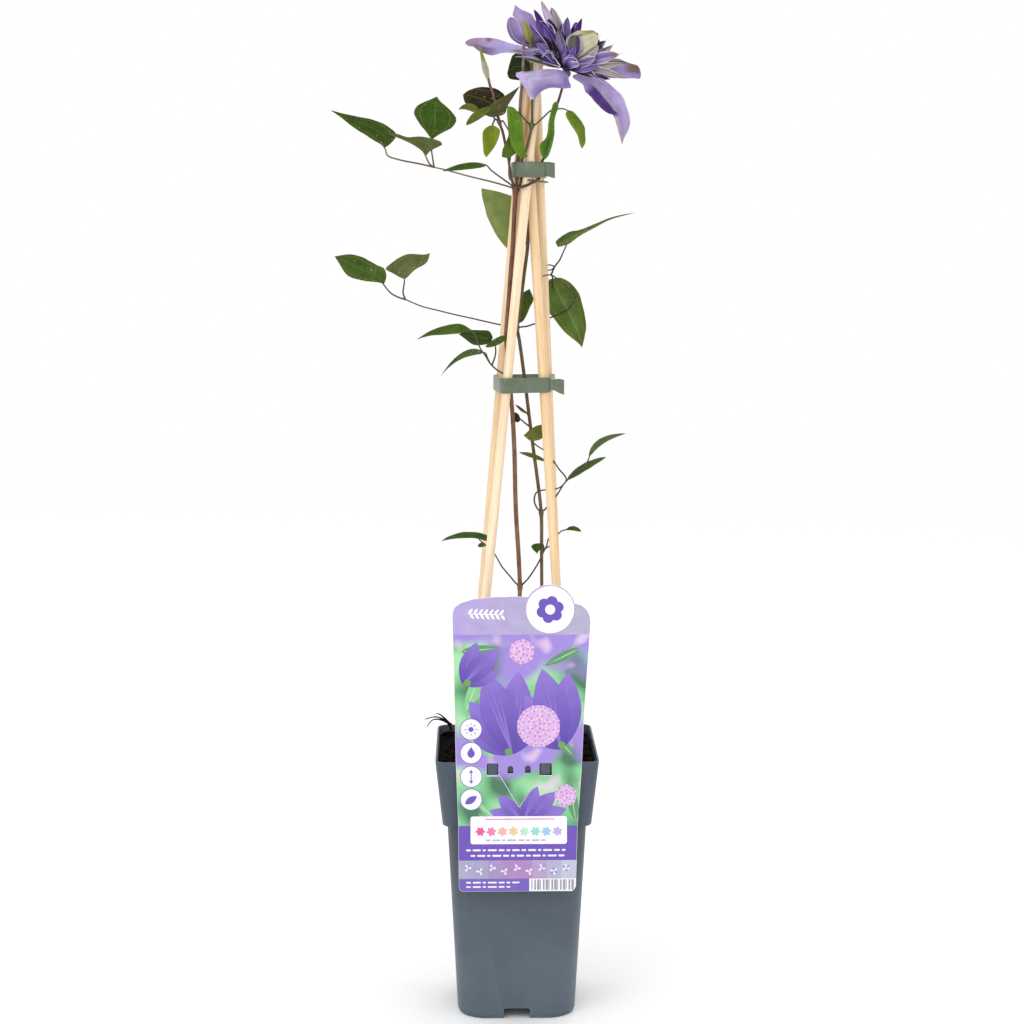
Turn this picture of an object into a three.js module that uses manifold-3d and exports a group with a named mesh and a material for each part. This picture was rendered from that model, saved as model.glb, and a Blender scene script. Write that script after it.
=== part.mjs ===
// A potted clematis tied to four stakes. Millimetres, +Z up.
// The origin is the middle of the pot's foot, on the surface that the pot stands on.
import * as THREE from 'three';
import { mergeVertices } from 'three/addons/utils/BufferGeometryUtils.js';
import Module from 'manifold-3d';

const wasm = await Module();
wasm.setup();

// Driving dimensions
const POT_HEIGHT = 175;
const RIM_HALF = 52.3;
const COLLAR_FOOT_HALF = 47.9;
const BODY_TOP_HALF = 44.9;
const BODY_FOOT_HALF = 38.6;
const COLLAR_FOOT_Z = 131.4;
const WALL = 1.3;
const FOOT_RISE = 2;
const FLOOR_UNDERSIDE = 8;
const SOIL_LEVEL = 168.5;
const STAKE_RADIUS = 3;
const STAKE_FOOT_Z = 118;
const TIE_LEVEL = 548;
const MIDDLE_STRAP_LEVEL = 412;
const STRAP_HEIGHT = 9.6;
const STRAP_THICKNESS = 0.9;
const GAP = 0.3;
const ROOTED_DEPTH = 16;

// The eye that the plant was drawn from. Points of the plant are [x, z, y]: x and z are where
// the point is seen on the plane y = 0, and y is how deep it really lies on that line of sight.
const EYE = new THREE.Vector3(-27.9, -1333.7, 505.6);

function sighted([x, z, y = 0]) {
  const seen = new THREE.Vector3(x, 0, z);
  return seen.sub(EYE).multiplyScalar((y - EYE.y) / -EYE.y).add(EYE);
}

const group = new THREE.Group();

function add(name, geometry, colour, roughness = 0.7) {
  const material = new THREE.MeshStandardMaterial({ color: colour, roughness, metalness: 0 });
  const mesh = new THREE.Mesh(geometry, material);
  mesh.name = name;
  group.add(mesh);
}

function toSolid(geometry) {
  const bare = geometry.clone();
  bare.deleteAttribute('normal');
  bare.deleteAttribute('uv');
  const merged = mergeVertices(bare, 1e-5);
  return new wasm.Manifold(new wasm.Mesh({
    numProp: 3,
    vertProperties: new Float32Array(merged.attributes.position.array),
    triVerts: new Uint32Array(merged.index.array),
  }));
}

function toGeometry(solid) {
  const mesh = solid.getMesh();
  const geometry = new THREE.BufferGeometry();
  geometry.setAttribute('position', new THREE.BufferAttribute(mesh.vertProperties, 3));
  geometry.setIndex(new THREE.BufferAttribute(mesh.triVerts, 1));
  return geometry;
}

function joined(geometries) {
  return toGeometry(geometries.map(toSolid).reduce((whole, piece) => whole.add(piece)));
}

function cut(geometry, cutters) {
  const start = toSolid(geometry);
  return toGeometry(cutters.map(toSolid).reduce((rest, cutter) => rest.subtract(cutter), start));
}

// A closed skin over rings of equally many points. A ring of one point ends the skin in a tip.
function loft(rings) {
  const starts = [];
  const points = [];
  for (const ring of rings) {
    starts.push(points.length);
    points.push(...ring);
  }
  const faces = [];
  for (let i = 0; i + 1 < rings.length; i += 1) {
    const count = Math.max(rings[i].length, rings[i + 1].length);
    const at = (ring, k) => starts[ring] + (rings[ring].length > 1 ? k % count : 0);
    for (let k = 0; k < count; k += 1) {
      if (rings[i].length > 1) faces.push([at(i, k), at(i, k + 1), at(i + 1, k + 1)]);
      if (rings[i + 1].length > 1) faces.push([at(i, k), at(i + 1, k + 1), at(i + 1, k)]);
    }
  }
  const last = rings.length - 1;
  for (let k = 1; k + 1 < rings[0].length; k += 1) faces.push([0, k + 1, k]);
  for (let k = 1; k + 1 < rings[last].length; k += 1) {
    faces.push([starts[last], starts[last] + k, starts[last] + k + 1]);
  }
  const volume = faces.reduce((sum, [a, b, c]) => (
    sum + points[a].dot(new THREE.Vector3().crossVectors(points[b], points[c]))), 0);
  const outward = volume > 0 ? faces : faces.map(([a, b, c]) => [a, c, b]);
  const geometry = new THREE.BufferGeometry().setFromPoints(points);
  geometry.setIndex(outward.flat());
  return geometry;
}

function polygon(sides, radius) {
  const corners = [];
  for (let k = 0; k < sides; k += 1) {
    const angle = (2 * Math.PI * k) / sides;
    corners.push(new THREE.Vector2(radius * Math.cos(angle), radius * Math.sin(angle)));
  }
  return corners;
}

// A round stem or stalk of one thickness along a smooth line through its points
function tube(points, radius, sides = 6, stepsPerSpan = 2) {
  const path = new THREE.CatmullRomCurve3(points, false, 'centripetal');
  return new THREE.ExtrudeGeometry(new THREE.Shape(polygon(sides, radius)), {
    steps: stepsPerSpan * (points.length - 1),
    extrudePath: path,
    bevelEnabled: false,
  });
}

function ball(centre, radius, stretch = 1, segments = 8) {
  const geometry = new THREE.SphereGeometry(radius, segments, segments - 2);
  geometry.rotateX(Math.PI / 2);
  geometry.scale(1, 1, stretch);
  return geometry.translate(centre.x, centre.y, centre.z);
}

function block(low, high) {
  const size = high.map((value, i) => value - low[i]);
  const geometry = new THREE.BoxGeometry(...size);
  return geometry.translate(...low.map((value, i) => value + size[i] / 2));
}

// Pot: one thin moulded shell, square with rounded corners, with a wider collar at the top
const CORNER_STEPS = 4;

function roundedSquare(half, corner, z) {
  const ring = [];
  const centre = half - corner;
  for (const [sx, sy, turn] of [[1, 1, 0], [-1, 1, 1], [-1, -1, 2], [1, -1, 3]]) {
    for (let k = 0; k <= CORNER_STEPS; k += 1) {
      const angle = (Math.PI / 2) * (turn + k / CORNER_STEPS);
      const x = sx * centre + corner * Math.cos(angle);
      const y = sy * centre + corner * Math.sin(angle);
      ring.push(new THREE.Vector3(x, y, z));
    }
  }
  return ring;
}

const RIM_CORNER = 7;
const COLLAR_FOOT_CORNER = 8;
const BODY_TOP_CORNER = 10;
const BODY_FOOT_CORNER = 19;
const FOOT_CORNER = 18;
const FOOT_INSET = 1;
const FOOT_WALL = 1.6;
const LEDGE = 1.2;

function potShell() {
  const footHalf = BODY_FOOT_HALF - FOOT_INSET;
  const wallTop = COLLAR_FOOT_Z + LEDGE;
  return loft([
    [new THREE.Vector3(0, 0, FLOOR_UNDERSIDE)],
    roundedSquare(footHalf - FOOT_WALL, FOOT_CORNER - FOOT_WALL, FLOOR_UNDERSIDE),
    roundedSquare(footHalf - FOOT_WALL, FOOT_CORNER - FOOT_WALL, 0),
    roundedSquare(footHalf, FOOT_CORNER, 0),
    roundedSquare(footHalf, FOOT_CORNER, FOOT_RISE),
    roundedSquare(BODY_FOOT_HALF, BODY_FOOT_CORNER, FOOT_RISE),
    roundedSquare(BODY_TOP_HALF, BODY_TOP_CORNER, COLLAR_FOOT_Z),
    roundedSquare(COLLAR_FOOT_HALF, COLLAR_FOOT_CORNER, COLLAR_FOOT_Z),
    roundedSquare(RIM_HALF, RIM_CORNER, POT_HEIGHT),
    roundedSquare(RIM_HALF - WALL, RIM_CORNER - WALL, POT_HEIGHT),
    roundedSquare(COLLAR_FOOT_HALF - WALL, COLLAR_FOOT_CORNER - WALL, wallTop),
    roundedSquare(BODY_TOP_HALF - WALL, BODY_TOP_CORNER - WALL, wallTop),
    roundedSquare(BODY_FOOT_HALF - WALL, BODY_FOOT_CORNER - WALL, FLOOR_UNDERSIDE + WALL),
    [new THREE.Vector3(0, 0, FLOOR_UNDERSIDE + WALL)],
  ]);
}

// The label's two slots hang on lugs of the collar
const LABEL_BACK_Y = -53;
const LABEL_THICKNESS = 0.7;
const LUG_BOTTOM = 167.4;
const LUG_TOP = 174.4;
const LUG_SPANS = [[-18.8, -12.8], [14.6, 20.6]];

const lugs = LUG_SPANS.map(([left, right]) => (
  block([left, LABEL_BACK_Y - 0.5, LUG_BOTTOM], [right, -RIM_HALF + 1.2, LUG_TOP])));

// The foot ring is open in the middle of all four sides, and a pad stands under the middle
const FOOT_NOTCH = [-8.5, 8.5];
const NOTCH_TOP = 7.1;
const BEYOND = 60;
const notchAlongY = block([FOOT_NOTCH[0], -BEYOND, -1], [FOOT_NOTCH[1], BEYOND, NOTCH_TOP]);
const notchAlongX = block([-BEYOND, FOOT_NOTCH[0], -1], [BEYOND, FOOT_NOTCH[1], NOTCH_TOP]);
const DRAIN_RADIUS = 4.5;
const DRAIN_OFFSET = 20;
const DRAIN_DEPTH = 4;
const DRAIN_SIDES = 12;
const drains = [[-1, -1], [1, -1], [1, 1], [-1, 1]].map(([sx, sy]) => {
  const hole = new THREE.CylinderGeometry(DRAIN_RADIUS, DRAIN_RADIUS, DRAIN_DEPTH, DRAIN_SIDES);
  hole.rotateX(Math.PI / 2);
  return hole.translate(sx * DRAIN_OFFSET, sy * DRAIN_OFFSET, FLOOR_UNDERSIDE + WALL / 2);
});
const pad = block([-8, -6, 0], [3, 6, FLOOR_UNDERSIDE + 0.4]);
const openPot = cut(potShell(), [notchAlongY, notchAlongX, ...drains]);
add('pot', joined([openPot, pad, ...lugs]), '#5f6b76', 0.55);

// Stakes: four thin round wooden rods in the corners of the pot, leaning together at the tie.
// Each is given by where it stands at the soil and at the tie.
const SOIL_PLANE = 168;
const stakes = {
  front_left: { soil: [-30.8, -33], tie: [7.7, -6.5], top: 614 },
  front_right: { soil: [32.9, -33], tie: [9, 2.5], top: 606.5 },
  back_left: { soil: [-30.2, 33], tie: [1.6, 0], top: 606.5 },
  back_right: { soil: [32.2, 33], tie: [15.3, 8.5], top: 619 },
};

function onStake({ soil, tie }, z) {
  const share = (z - SOIL_PLANE) / (TIE_LEVEL - SOIL_PLANE);
  const [x, y] = soil.map((value, i) => value + (tie[i] - value) * share);
  return new THREE.Vector3(x, y, z);
}

function stakeRod(stake, radius, footZ = STAKE_FOOT_Z, topZ = stake.top) {
  return tube([onStake(stake, footZ), onStake(stake, topZ)], radius, 16, 1);
}

for (const [place, stake] of Object.entries(stakes)) {
  add(`stake_${place}`, stakeRod(stake, STAKE_RADIUS), '#e2c49a', 0.75);
}
const stakeSockets = Object.values(stakes).map((stake) => (
  stakeRod(stake, STAKE_RADIUS + GAP, STAKE_FOOT_Z - GAP)));

// Stems: each is a list of sighted points from the soil or a node upwards, and a radius
const stemLines = {
  left: {
    radius: 1.4,
    points: [[3.5, 170, -5], [2.5, 225, -5], [2.5, 272, -5], [2.7, 279, -5], [1.8, 300, -5],
      [0, 330, -5], [-1, 370, -6], [-2.2, 392, -8], [-5, 425, -9], [-6.2, 443, -8], [-5, 460, -7],
      [-3.5, 480, -6], [-2, 500, -5], [-1, 520, -5], [0, 536, -5]],
  },
  right: {
    radius: 1.1,
    points: [[18, 170, 0], [17.3, 240, 0], [16.8, 300, 0], [16.5, 328, 0], [14, 350, 0], [11, 372, 0],
      [8, 396, 0], [5, 420, 0], [2.2, 440, 0], [0.8, 448, 0], [2, 455, 0], [5, 480, 0],
      [7.5, 500, 0.5], [8, 520, 3.4], [8, 535, 5.4], [8.2, 548, 6.8], [8, 560, 7.9],
      [7.9, 575, 9.5], [7.6, 598, 11.9]],
  },
};

function rootedPoints({ points }) {
  const crown = sighted(points[0]);
  return [new THREE.Vector3(crown.x, crown.y, SOIL_LEVEL - ROOTED_DEPTH), ...points.map(sighted)];
}

// Substrate: fills the pot to just under the rim, with a socket for every stake and stem
function substrateBody() {
  const wallGap = WALL + GAP + 0.05;
  const ledge = COLLAR_FOOT_Z + LEDGE;
  const collarRise = (SOIL_LEVEL - COLLAR_FOOT_Z) / (POT_HEIGHT - COLLAR_FOOT_Z);
  const topHalf = COLLAR_FOOT_HALF + (RIM_HALF - COLLAR_FOOT_HALF) * collarRise - wallGap;
  const floor = FLOOR_UNDERSIDE + WALL + GAP;
  return loft([
    roundedSquare(BODY_FOOT_HALF - wallGap, BODY_FOOT_CORNER, floor),
    roundedSquare(BODY_TOP_HALF - wallGap, BODY_TOP_CORNER, ledge + GAP),
    roundedSquare(COLLAR_FOOT_HALF - wallGap, COLLAR_FOOT_CORNER, ledge + GAP + 0.1),
    roundedSquare(topHalf, COLLAR_FOOT_CORNER, SOIL_LEVEL - 2),
    roundedSquare(topHalf - 5, RIM_CORNER - wallGap, SOIL_LEVEL),
    roundedSquare(topHalf / 2, RIM_CORNER - wallGap, SOIL_LEVEL + 0.4),
    [new THREE.Vector3(0, 0, SOIL_LEVEL)],
  ]);
}

const stemSockets = Object.values(stemLines).map((line) => (
  tube(rootedPoints(line).slice(0, 3), line.radius + GAP, 8)));
add('substrate', cut(substrateBody(), [...stakeSockets, ...stemSockets]), '#33261c', 0.95);

// A tuft of coir fibre that has worked out of the substrate and lies over the rim at the left
const tuftStrands = [
  [[-43, 187.5, 38], [-48, 191, 36], [-53, 192.5, 33], [-59.5, 191, 29]],
  [[-43, 187.5, 38], [-49, 190.4, 35], [-54.5, 190.6, 31], [-58.5, 186.2, 27]],
  [[-43, 187.5, 38], [-47, 191.8, 37], [-50, 194.2, 35], [-52.5, 195, 33]],
  [[-43, 187.5, 38], [-42.7, 183, 38], [-42.5, 178.3, 38]],
];
const tuft = tuftStrands.map((strand) => tube(strand.map(sighted), 0.8, 5));
tuft.push(ball(sighted([-43.5, 187.4, 38]), 1.8, 0.8));
add('bark_fibre_tuft', joined(tuft), '#5a4632', 0.95);

// Straps: flat plastic bands drawn tight round rods, with a short loose tail at the right
const STRAP_CLEARANCE = 0.75;
const CORNER_POINTS = 4;

function tangentTurn([ax, ay, ar], [bx, by, br]) {
  const lean = Math.asin((ar - br) / Math.hypot(bx - ax, by - ay));
  return Math.atan2(by - ay, bx - ax) - Math.PI / 2 + lean;
}

function aroundRods(rods, offset) {
  return rods.flatMap(([x, y, radius], i) => {
    const before = rods[(i + rods.length - 1) % rods.length];
    const after = rods[(i + 1) % rods.length];
    const start = tangentTurn(before, rods[i]);
    const turn = (tangentTurn(rods[i], after) - start + 4 * Math.PI) % (2 * Math.PI);
    return Array.from({ length: CORNER_POINTS }, (_, k) => {
      const angle = start + (turn * k) / (CORNER_POINTS - 1);
      const reach = radius + offset;
      return new THREE.Vector2(x + reach * Math.cos(angle), y + reach * Math.sin(angle));
    });
  });
}

function strapTail(from, to, length) {
  const angle = tangentTurn(from, to);
  const out = new THREE.Vector2(Math.cos(angle), Math.sin(angle));
  const along = new THREE.Vector2(-out.y, out.x);
  const near = to[2] + STRAP_CLEARANCE;
  const start = new THREE.Vector2(to[0], to[1]).addScaledVector(out, near);
  const end = start.clone().addScaledVector(along, length).addScaledVector(out, 0.1 * length);
  const step = out.clone().multiplyScalar(STRAP_THICKNESS);
  return new THREE.Shape([start.clone().add(step), start, end, end.clone().add(step)]);
}

function strap(rods, tailFrom, tailTo, tailLength, level) {
  const band = new THREE.Shape(aroundRods(rods, STRAP_CLEARANCE + STRAP_THICKNESS));
  band.holes.push(new THREE.Path(aroundRods(rods, STRAP_CLEARANCE)));
  const tail = strapTail(rods[tailFrom], rods[tailTo], tailLength);
  const upright = { depth: STRAP_HEIGHT, bevelEnabled: false };
  const whole = joined([band, tail].map((shape) => new THREE.ExtrudeGeometry(shape, upright)));
  return whole.translate(0, 0, level - STRAP_HEIGHT / 2);
}

function rodAt(stake, z) {
  const { x, y } = onStake(stake, z);
  return [x, y, STAKE_RADIUS];
}

const {
  front_left: frontLeft, front_right: frontRight, back_left: backLeft, back_right: backRight,
} = stakes;
const middleRods = [frontLeft, frontRight, backRight, backLeft].map((stake) => (
  rodAt(stake, MIDDLE_STRAP_LEVEL)));
const MIDDLE_TAIL = 12;
add('strap_middle', strap(middleRods, 0, 1, MIDDLE_TAIL, MIDDLE_STRAP_LEVEL), '#6b7866', 0.45);

const CUT_SHOOT_AT_TIE = [0.6, -4.5, 1];
const FLOWER_STALK_AT_TIE = [15.5, -3.6, 1.3];
const topRods = [CUT_SHOOT_AT_TIE, rodAt(frontLeft, TIE_LEVEL), FLOWER_STALK_AT_TIE,
  rodAt(backRight, TIE_LEVEL), rodAt(backLeft, TIE_LEVEL)];
const TOP_TAIL = 8.5;
add('strap_top', strap(topRods, 1, 2, TOP_TAIL, TIE_LEVEL), '#6b7866', 0.45);

// Wire tie: one thin wire round the bundle just under the top strap, its ends left open in front
const wireLine = [[7.2, -11, 541.4], [9.6, -9.9, 541.2], [10.6, -8.9, 541.1], [12.4, -5.6, 540.9],
  [15, -2.8, 540.7], [19.6, 1, 540.4], [20.2, 8.5, 540.4], [18.4, 12.8, 540.6], [14.3, 13.7, 540.8],
  [7.5, 10, 541], [0.5, 5.8, 541.2], [-3.4, 2.2, 541.8], [-4.4, -0.5, 545], [-4.3, -1.5, 551],
  [-3.4, -3, 556.8]];
const WIRE_RADIUS = 0.55;
const wirePoints = wireLine.map((point) => new THREE.Vector3(...point));
add('wire_tie', tube(wirePoints, WIRE_RADIUS, 6), '#2f5a3a', 0.5);

// Label: a thin printed plate, its round tab above the rim, hung on the lugs by two slots
const LABEL_FRONT_Y = LABEL_BACK_Y - LABEL_THICKNESS;
const labelEdge = [[-40, 265.5], [-36, 268.5], [-28, 271], [-15, 272.3], [0, 272.7], [8.2, 272.3]];
const labelSides = [
  [39.5, 268], [45, 265], [48, 261], [49, 255], [45, 193], [43.5, 155], [41, 118], [40, 77],
  [37.5, 73.5], [-35.5, 73.5], [-37.7, 77], [-38, 118], [-39.5, 160], [-40, 190], [-41.5, 260]];
const TAB_CENTRE = [22.5, 264];
const TAB_RADIUS = 16.5;
const TAB_FROM = 2.61;
const TAB_TO = 0.24;
const TAB_STEPS = 9;

function onLabel([x, z]) {
  const point = sighted([x, z, LABEL_FRONT_Y]);
  return new THREE.Vector2(point.x, point.z);
}

function arcOnLabel([x, z], radius, from, to, steps) {
  return Array.from({ length: steps + 1 }, (_, k) => {
    const angle = from + ((to - from) * k) / steps;
    return onLabel([x + radius * Math.cos(angle), z + radius * Math.sin(angle)]);
  });
}

const labelShape = new THREE.Shape([
  ...labelEdge.map(onLabel),
  ...arcOnLabel(TAB_CENTRE, TAB_RADIUS, TAB_FROM, TAB_TO, TAB_STEPS).slice(1),
  ...labelSides.map(onLabel),
]);
const slots = [
  [[-19.2, 153], [-11.5, 153], [-11.5, 161], [-19.2, 161]],
  [[15.6, 152.5], [24, 152.5], [24, 161], [15.6, 161]],
];
for (const slot of slots) labelShape.holes.push(new THREE.Path(slot.map(onLabel)));
const ARCH_RADIUS = 2;
const ARCH_FOOT = 3.3;
for (const [x, z] of [[-3.5, 157.2], [8, 157.5]]) {
  labelShape.holes.push(new THREE.Path([
    ...arcOnLabel([x, z], ARCH_RADIUS, 0, Math.PI, 6),
    onLabel([x - ARCH_RADIUS, z - ARCH_FOOT]),
    onLabel([x + ARCH_RADIUS, z - ARCH_FOOT]),
  ]));
}
const labelPlate = new THREE.ExtrudeGeometry(labelShape, { depth: LABEL_THICKNESS, bevelEnabled: false });
labelPlate.rotateX(Math.PI / 2);
add('label', labelPlate.translate(0, LABEL_BACK_Y, 0), '#d9d4de', 0.4);

// Nodes: the swellings on the stems that shoots and leaves grow from
const nodes = {
  left_low: { centre: sighted([2.7, 279, -5]), radius: 1.9 },
  left_top: { centre: sighted([0, 536, -5]), radius: 2.5 },
  right_low: { centre: sighted([16.5, 328, 0]), radius: 1.7 },
  right_middle: { centre: sighted([0.8, 448, 0]), radius: 1.6 },
  bud_shoot: { centre: sighted([-10.6, 578, -8]), radius: 1.5 },
  green_shoot: { centre: sighted([10, 575.5, -9.8]), radius: 1.7 },
};

function swelling({ centre, radius }) {
  return ball(centre, radius, 1.1);
}

// The point where something seated on a round body starts, a hair off its surface
function seatOn({ centre, radius }, towards) {
  const reach = 1.1 * radius + GAP + 0.05;
  return towards.clone().sub(centre).setLength(reach).add(centre);
}

add('stem_left', joined([tube(rootedPoints(stemLines.left), stemLines.left.radius, 7, 1),
  swelling(nodes.left_low), swelling(nodes.left_top)]), '#6b4538', 0.8);
add('stem_right', joined([tube(rootedPoints(stemLines.right), stemLines.right.radius, 7, 1),
  swelling(nodes.right_low), swelling(nodes.right_middle)]), '#6a6430', 0.8);

// Shoots from the top node of the left stem
function shoot(points, radius) {
  const line = points.map(sighted);
  return tube([seatOn(nodes.left_top, line[0]), ...line], radius, 6, 1);
}

const budShoot = [[-2.2, 540.2, -7.9], [-3.5, 546, -8], [-4.6, 554, -8], [-6.5, 563, -8], [-8.5, 572, -8],
  [-10.6, 578, -8], [-14, 594, -8], [-16.5, 601, -8], [-17.7, 605.2, -8]];
add('shoot_bud', joined([shoot(budShoot, 0.85), swelling(nodes.bud_shoot)]), '#7a5a52', 0.75);

const cutShoot = [[0.4, 541, -4.7], [0.6, 548, -4.5], [1, 553.5, -4.9], [1.5, 560, -5.8], [2, 570, -6.8],
  [2.5, 585, -7.8], [3.3, 597, -8.7], [4.3, 605, -9.4], [4.7, 615, -9.8], [5, 628.5, -10]];
add('shoot_cut', shoot(cutShoot, 0.9), '#8a6a60', 0.75);

const greenShoot = [
  [3.1, 539.5, -4.3], [3.8, 548, -4.5], [3.9, 553, -6.6], [5, 557, -9.4], [7, 562, -10.4],
  [8.5, 568, -10.1], [10, 575.5, -9.8], [10.3, 585, -8.7], [10.2, 597, -7.7], [10.3, 606, -6.8],
  [10.2, 612, -4.8], [10, 620, -2.6], [9.6, 627.6, -2]];
add('shoot_green', joined([shoot(greenShoot, 0.8), swelling(nodes.green_shoot)]), '#6a7a34', 0.75);

const receptacle = { centre: sighted([32, 608.2, -8]), radius: 3.4 };
const stalkTop = sighted([29, 598, -8]);
const flowerStalk = [[3, 537.2, -10.5], [7, 538.3, -13.2], [10, 539.8, -12.4], [12.8, 541.2, -8.8],
  [14.6, 542.6, -5], [15.6, 548, -3.6], [16.6, 553, -3.7], [18, 556, -4.6], [20.5, 566, -6],
  [24, 585, -7.3], [26.3, 589.5, -7.6]];
add('flower_stalk', tube([
  seatOn(nodes.left_top, sighted(flowerStalk[0])), ...flowerStalk.map(sighted), stalkTop,
  seatOn({ centre: receptacle.centre, radius: receptacle.radius / 1.1 }, stalkTop),
], 0.85, 6, 1), '#6b5148', 0.75);

// Blades: a leaf or petal is a thin closed skin round a midrib, with one ring at each station
const BLADE_STATIONS = 8;
const BLADE_THICKNESS = 0.7;
const stationShares = Array.from({ length: BLADE_STATIONS + 1 }, (_, k) => (
  (1 - Math.cos((Math.PI * k) / BLADE_STATIONS)) / 2));

function bladeSkin(leftEdge, rightEdge) {
  const spine = leftEdge.map((point, k) => point.clone().lerp(rightEdge[k], 0.5));
  const spans = leftEdge.map((point, k) => point.distanceTo(rightEdge[k]));
  const broadest = Math.max(...spans);
  const rings = [[spine[0]]];
  for (let k = 1; k < BLADE_STATIONS; k += 1) {
    const ahead = spine[k + 1].clone().sub(spine[k - 1]);
    const across = leftEdge[k].clone().sub(rightEdge[k]);
    const rise = ahead.cross(across).setLength((BLADE_THICKNESS / 2) * Math.sqrt(spans[k] / broadest));
    rings.push([leftEdge[k], spine[k].clone().add(rise), rightEdge[k], spine[k].clone().sub(rise)]);
  }
  rings.push([spine[BLADE_STATIONS]]);
  return loft(rings);
}

function bladeWidth(share, widest, fullness) {
  const rise = (share / widest) ** fullness;
  return rise * ((1 - share) / (1 - widest)) ** ((fullness * (1 - widest)) / widest);
}

// A narrow blade is given by its base, middle, tip and the outermost point of each of its two
// sides, at the share `widest` of its length
function narrowBlade(base, [middle, tip, left, right], widest = 0.4, fullness = 0.6) {
  const pull = middle.clone().multiplyScalar(2).sub(base.clone().add(tip).multiplyScalar(0.5));
  const midrib = new THREE.QuadraticBezierCurve3(base, pull, tip);
  const widestPoint = midrib.getPoint(widest);
  const [leftEdge, rightEdge] = [left, right].map((side) => {
    const reach = side.clone().sub(widestPoint);
    return stationShares.map((share) => (
      midrib.getPoint(share).addScaledVector(reach, bladeWidth(share, widest, fullness))));
  });
  return bladeSkin(leftEdge, rightEdge);
}

// A broad blade is given by its outline as it is seen, from its base along each edge to its tip,
// and by its depth at base, middle and tip
function drawnBlade({ base, left, tip, right, depths }) {
  const depthCurve = new THREE.QuadraticBezierCurve3(
    new THREE.Vector3(depths[0]), new THREE.Vector3(2 * depths[1] - (depths[0] + depths[2]) / 2),
    new THREE.Vector3(depths[2]));
  const edges = [left, right].map((edge) => {
    const seen = [base, ...edge, tip].map(([x, z]) => new THREE.Vector3(x, 0, z));
    const outline = new THREE.CatmullRomCurve3(seen, false, 'centripetal');
    return stationShares.map((share) => {
      const { x, z } = outline.getPointAt(share);
      return sighted([x, z, depthCurve.getPoint(share).x]);
    });
  });
  return bladeSkin(...edges);
}

// A leaf node: stalks as lists of sighted points, and blades that are drawn or narrow.
// The first stalk starts on what the leaf grows from.
const STALK_RADIUS = 0.5;

function leaf(name, colour, from, stalks, blades) {
  const lines = stalks.map((stalk) => stalk.map(sighted));
  if (from) lines[0].unshift(seatOn(from, lines[0][0]));
  const stalkTubes = lines.map((line) => tube(line, STALK_RADIUS, 5, 1));
  const skins = blades.map((shape) => {
    if (shape.depths) return drawnBlade(shape);
    const [base, middle, tip, left, right, widest, fullness] = shape;
    return narrowBlade(sighted(base), [middle, tip, left, right].map(sighted), widest, fullness);
  });
  add(name, joined([...stalkTubes, ...skins]), colour, 0.6);
}

function onStem(point, radius) {
  return { centre: sighted(point), radius };
}

leaf('leaf_top_back', '#2e3a14', null, [[[7.5, 598.4, 12], [8.4, 603, 12.6], [6.5, 608.5, 13]]], [
  {
    base: [9.4, 607.5], left: [[9.6, 613], [7, 618.8], [2, 620.8], [-1.8, 619.8], [-3.8, 615]],
    tip: [-5.5, 608.5], right: [[6, 604.4], [2, 604], [-2, 604.3], [-4.7, 605.6]], depths: [12.8, 13, 13],
  },
]);
leaf('leaf_bud_shoot_left', '#3c4418', nodes.bud_shoot, [
  [[-13.6, 580.3, -7.2], [-15.5, 583.5, -6.2], [-18.5, 588.5, -5.5]],
  [[-13.3, 579.8, -7.4], [-14.6, 577, -8], [-14.8, 574.5, -8.7], [-15, 571, -9]],
], [
  {
    base: [-13.5, 583], tip: [-33.6, 594.8],
    right: [[-19, 582], [-25, 583.2], [-29, 586], [-32.5, 590.5]],
    left: [[-9, 589], [-7, 594.3], [-9, 596.5], [-12, 598.5], [-17, 599.6], [-22, 599.8], [-27, 598.8],
      [-31, 597]],
    depths: [-5.7, -5.5, -5],
  },
  {
    base: [-14, 575.8], tip: [-18.8, 555.7],
    left: [[-16.8, 575.6], [-20.7, 572.5], [-21.2, 568.5], [-20.8, 562], [-20.3, 558]],
    right: [[-10.4, 573.3], [-10.3, 570.5], [-11.5, 566.5], [-13.5, 562.5], [-16.5, 558.5]],
    depths: [-8.7, -9.2, -9],
  },
]);
leaf('leaf_bud_shoot_right', '#4d6a22', nodes.bud_shoot, [
  [[-8.3, 578.6, -10], [-6.5, 575.8, -10.8], [-4.4, 572, -11], [-4.6, 568, -11]],
], [
  {
    base: [-3.6, 571.8], left: [[-5, 568.5], [-7, 564], [-8.5, 560.5]], tip: [-9, 556.2],
    right: [[0, 566], [0.4, 559.6], [-2.5, 556.4], [-6, 555.4]], depths: [-11, -11, -11],
  },
]);
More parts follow.
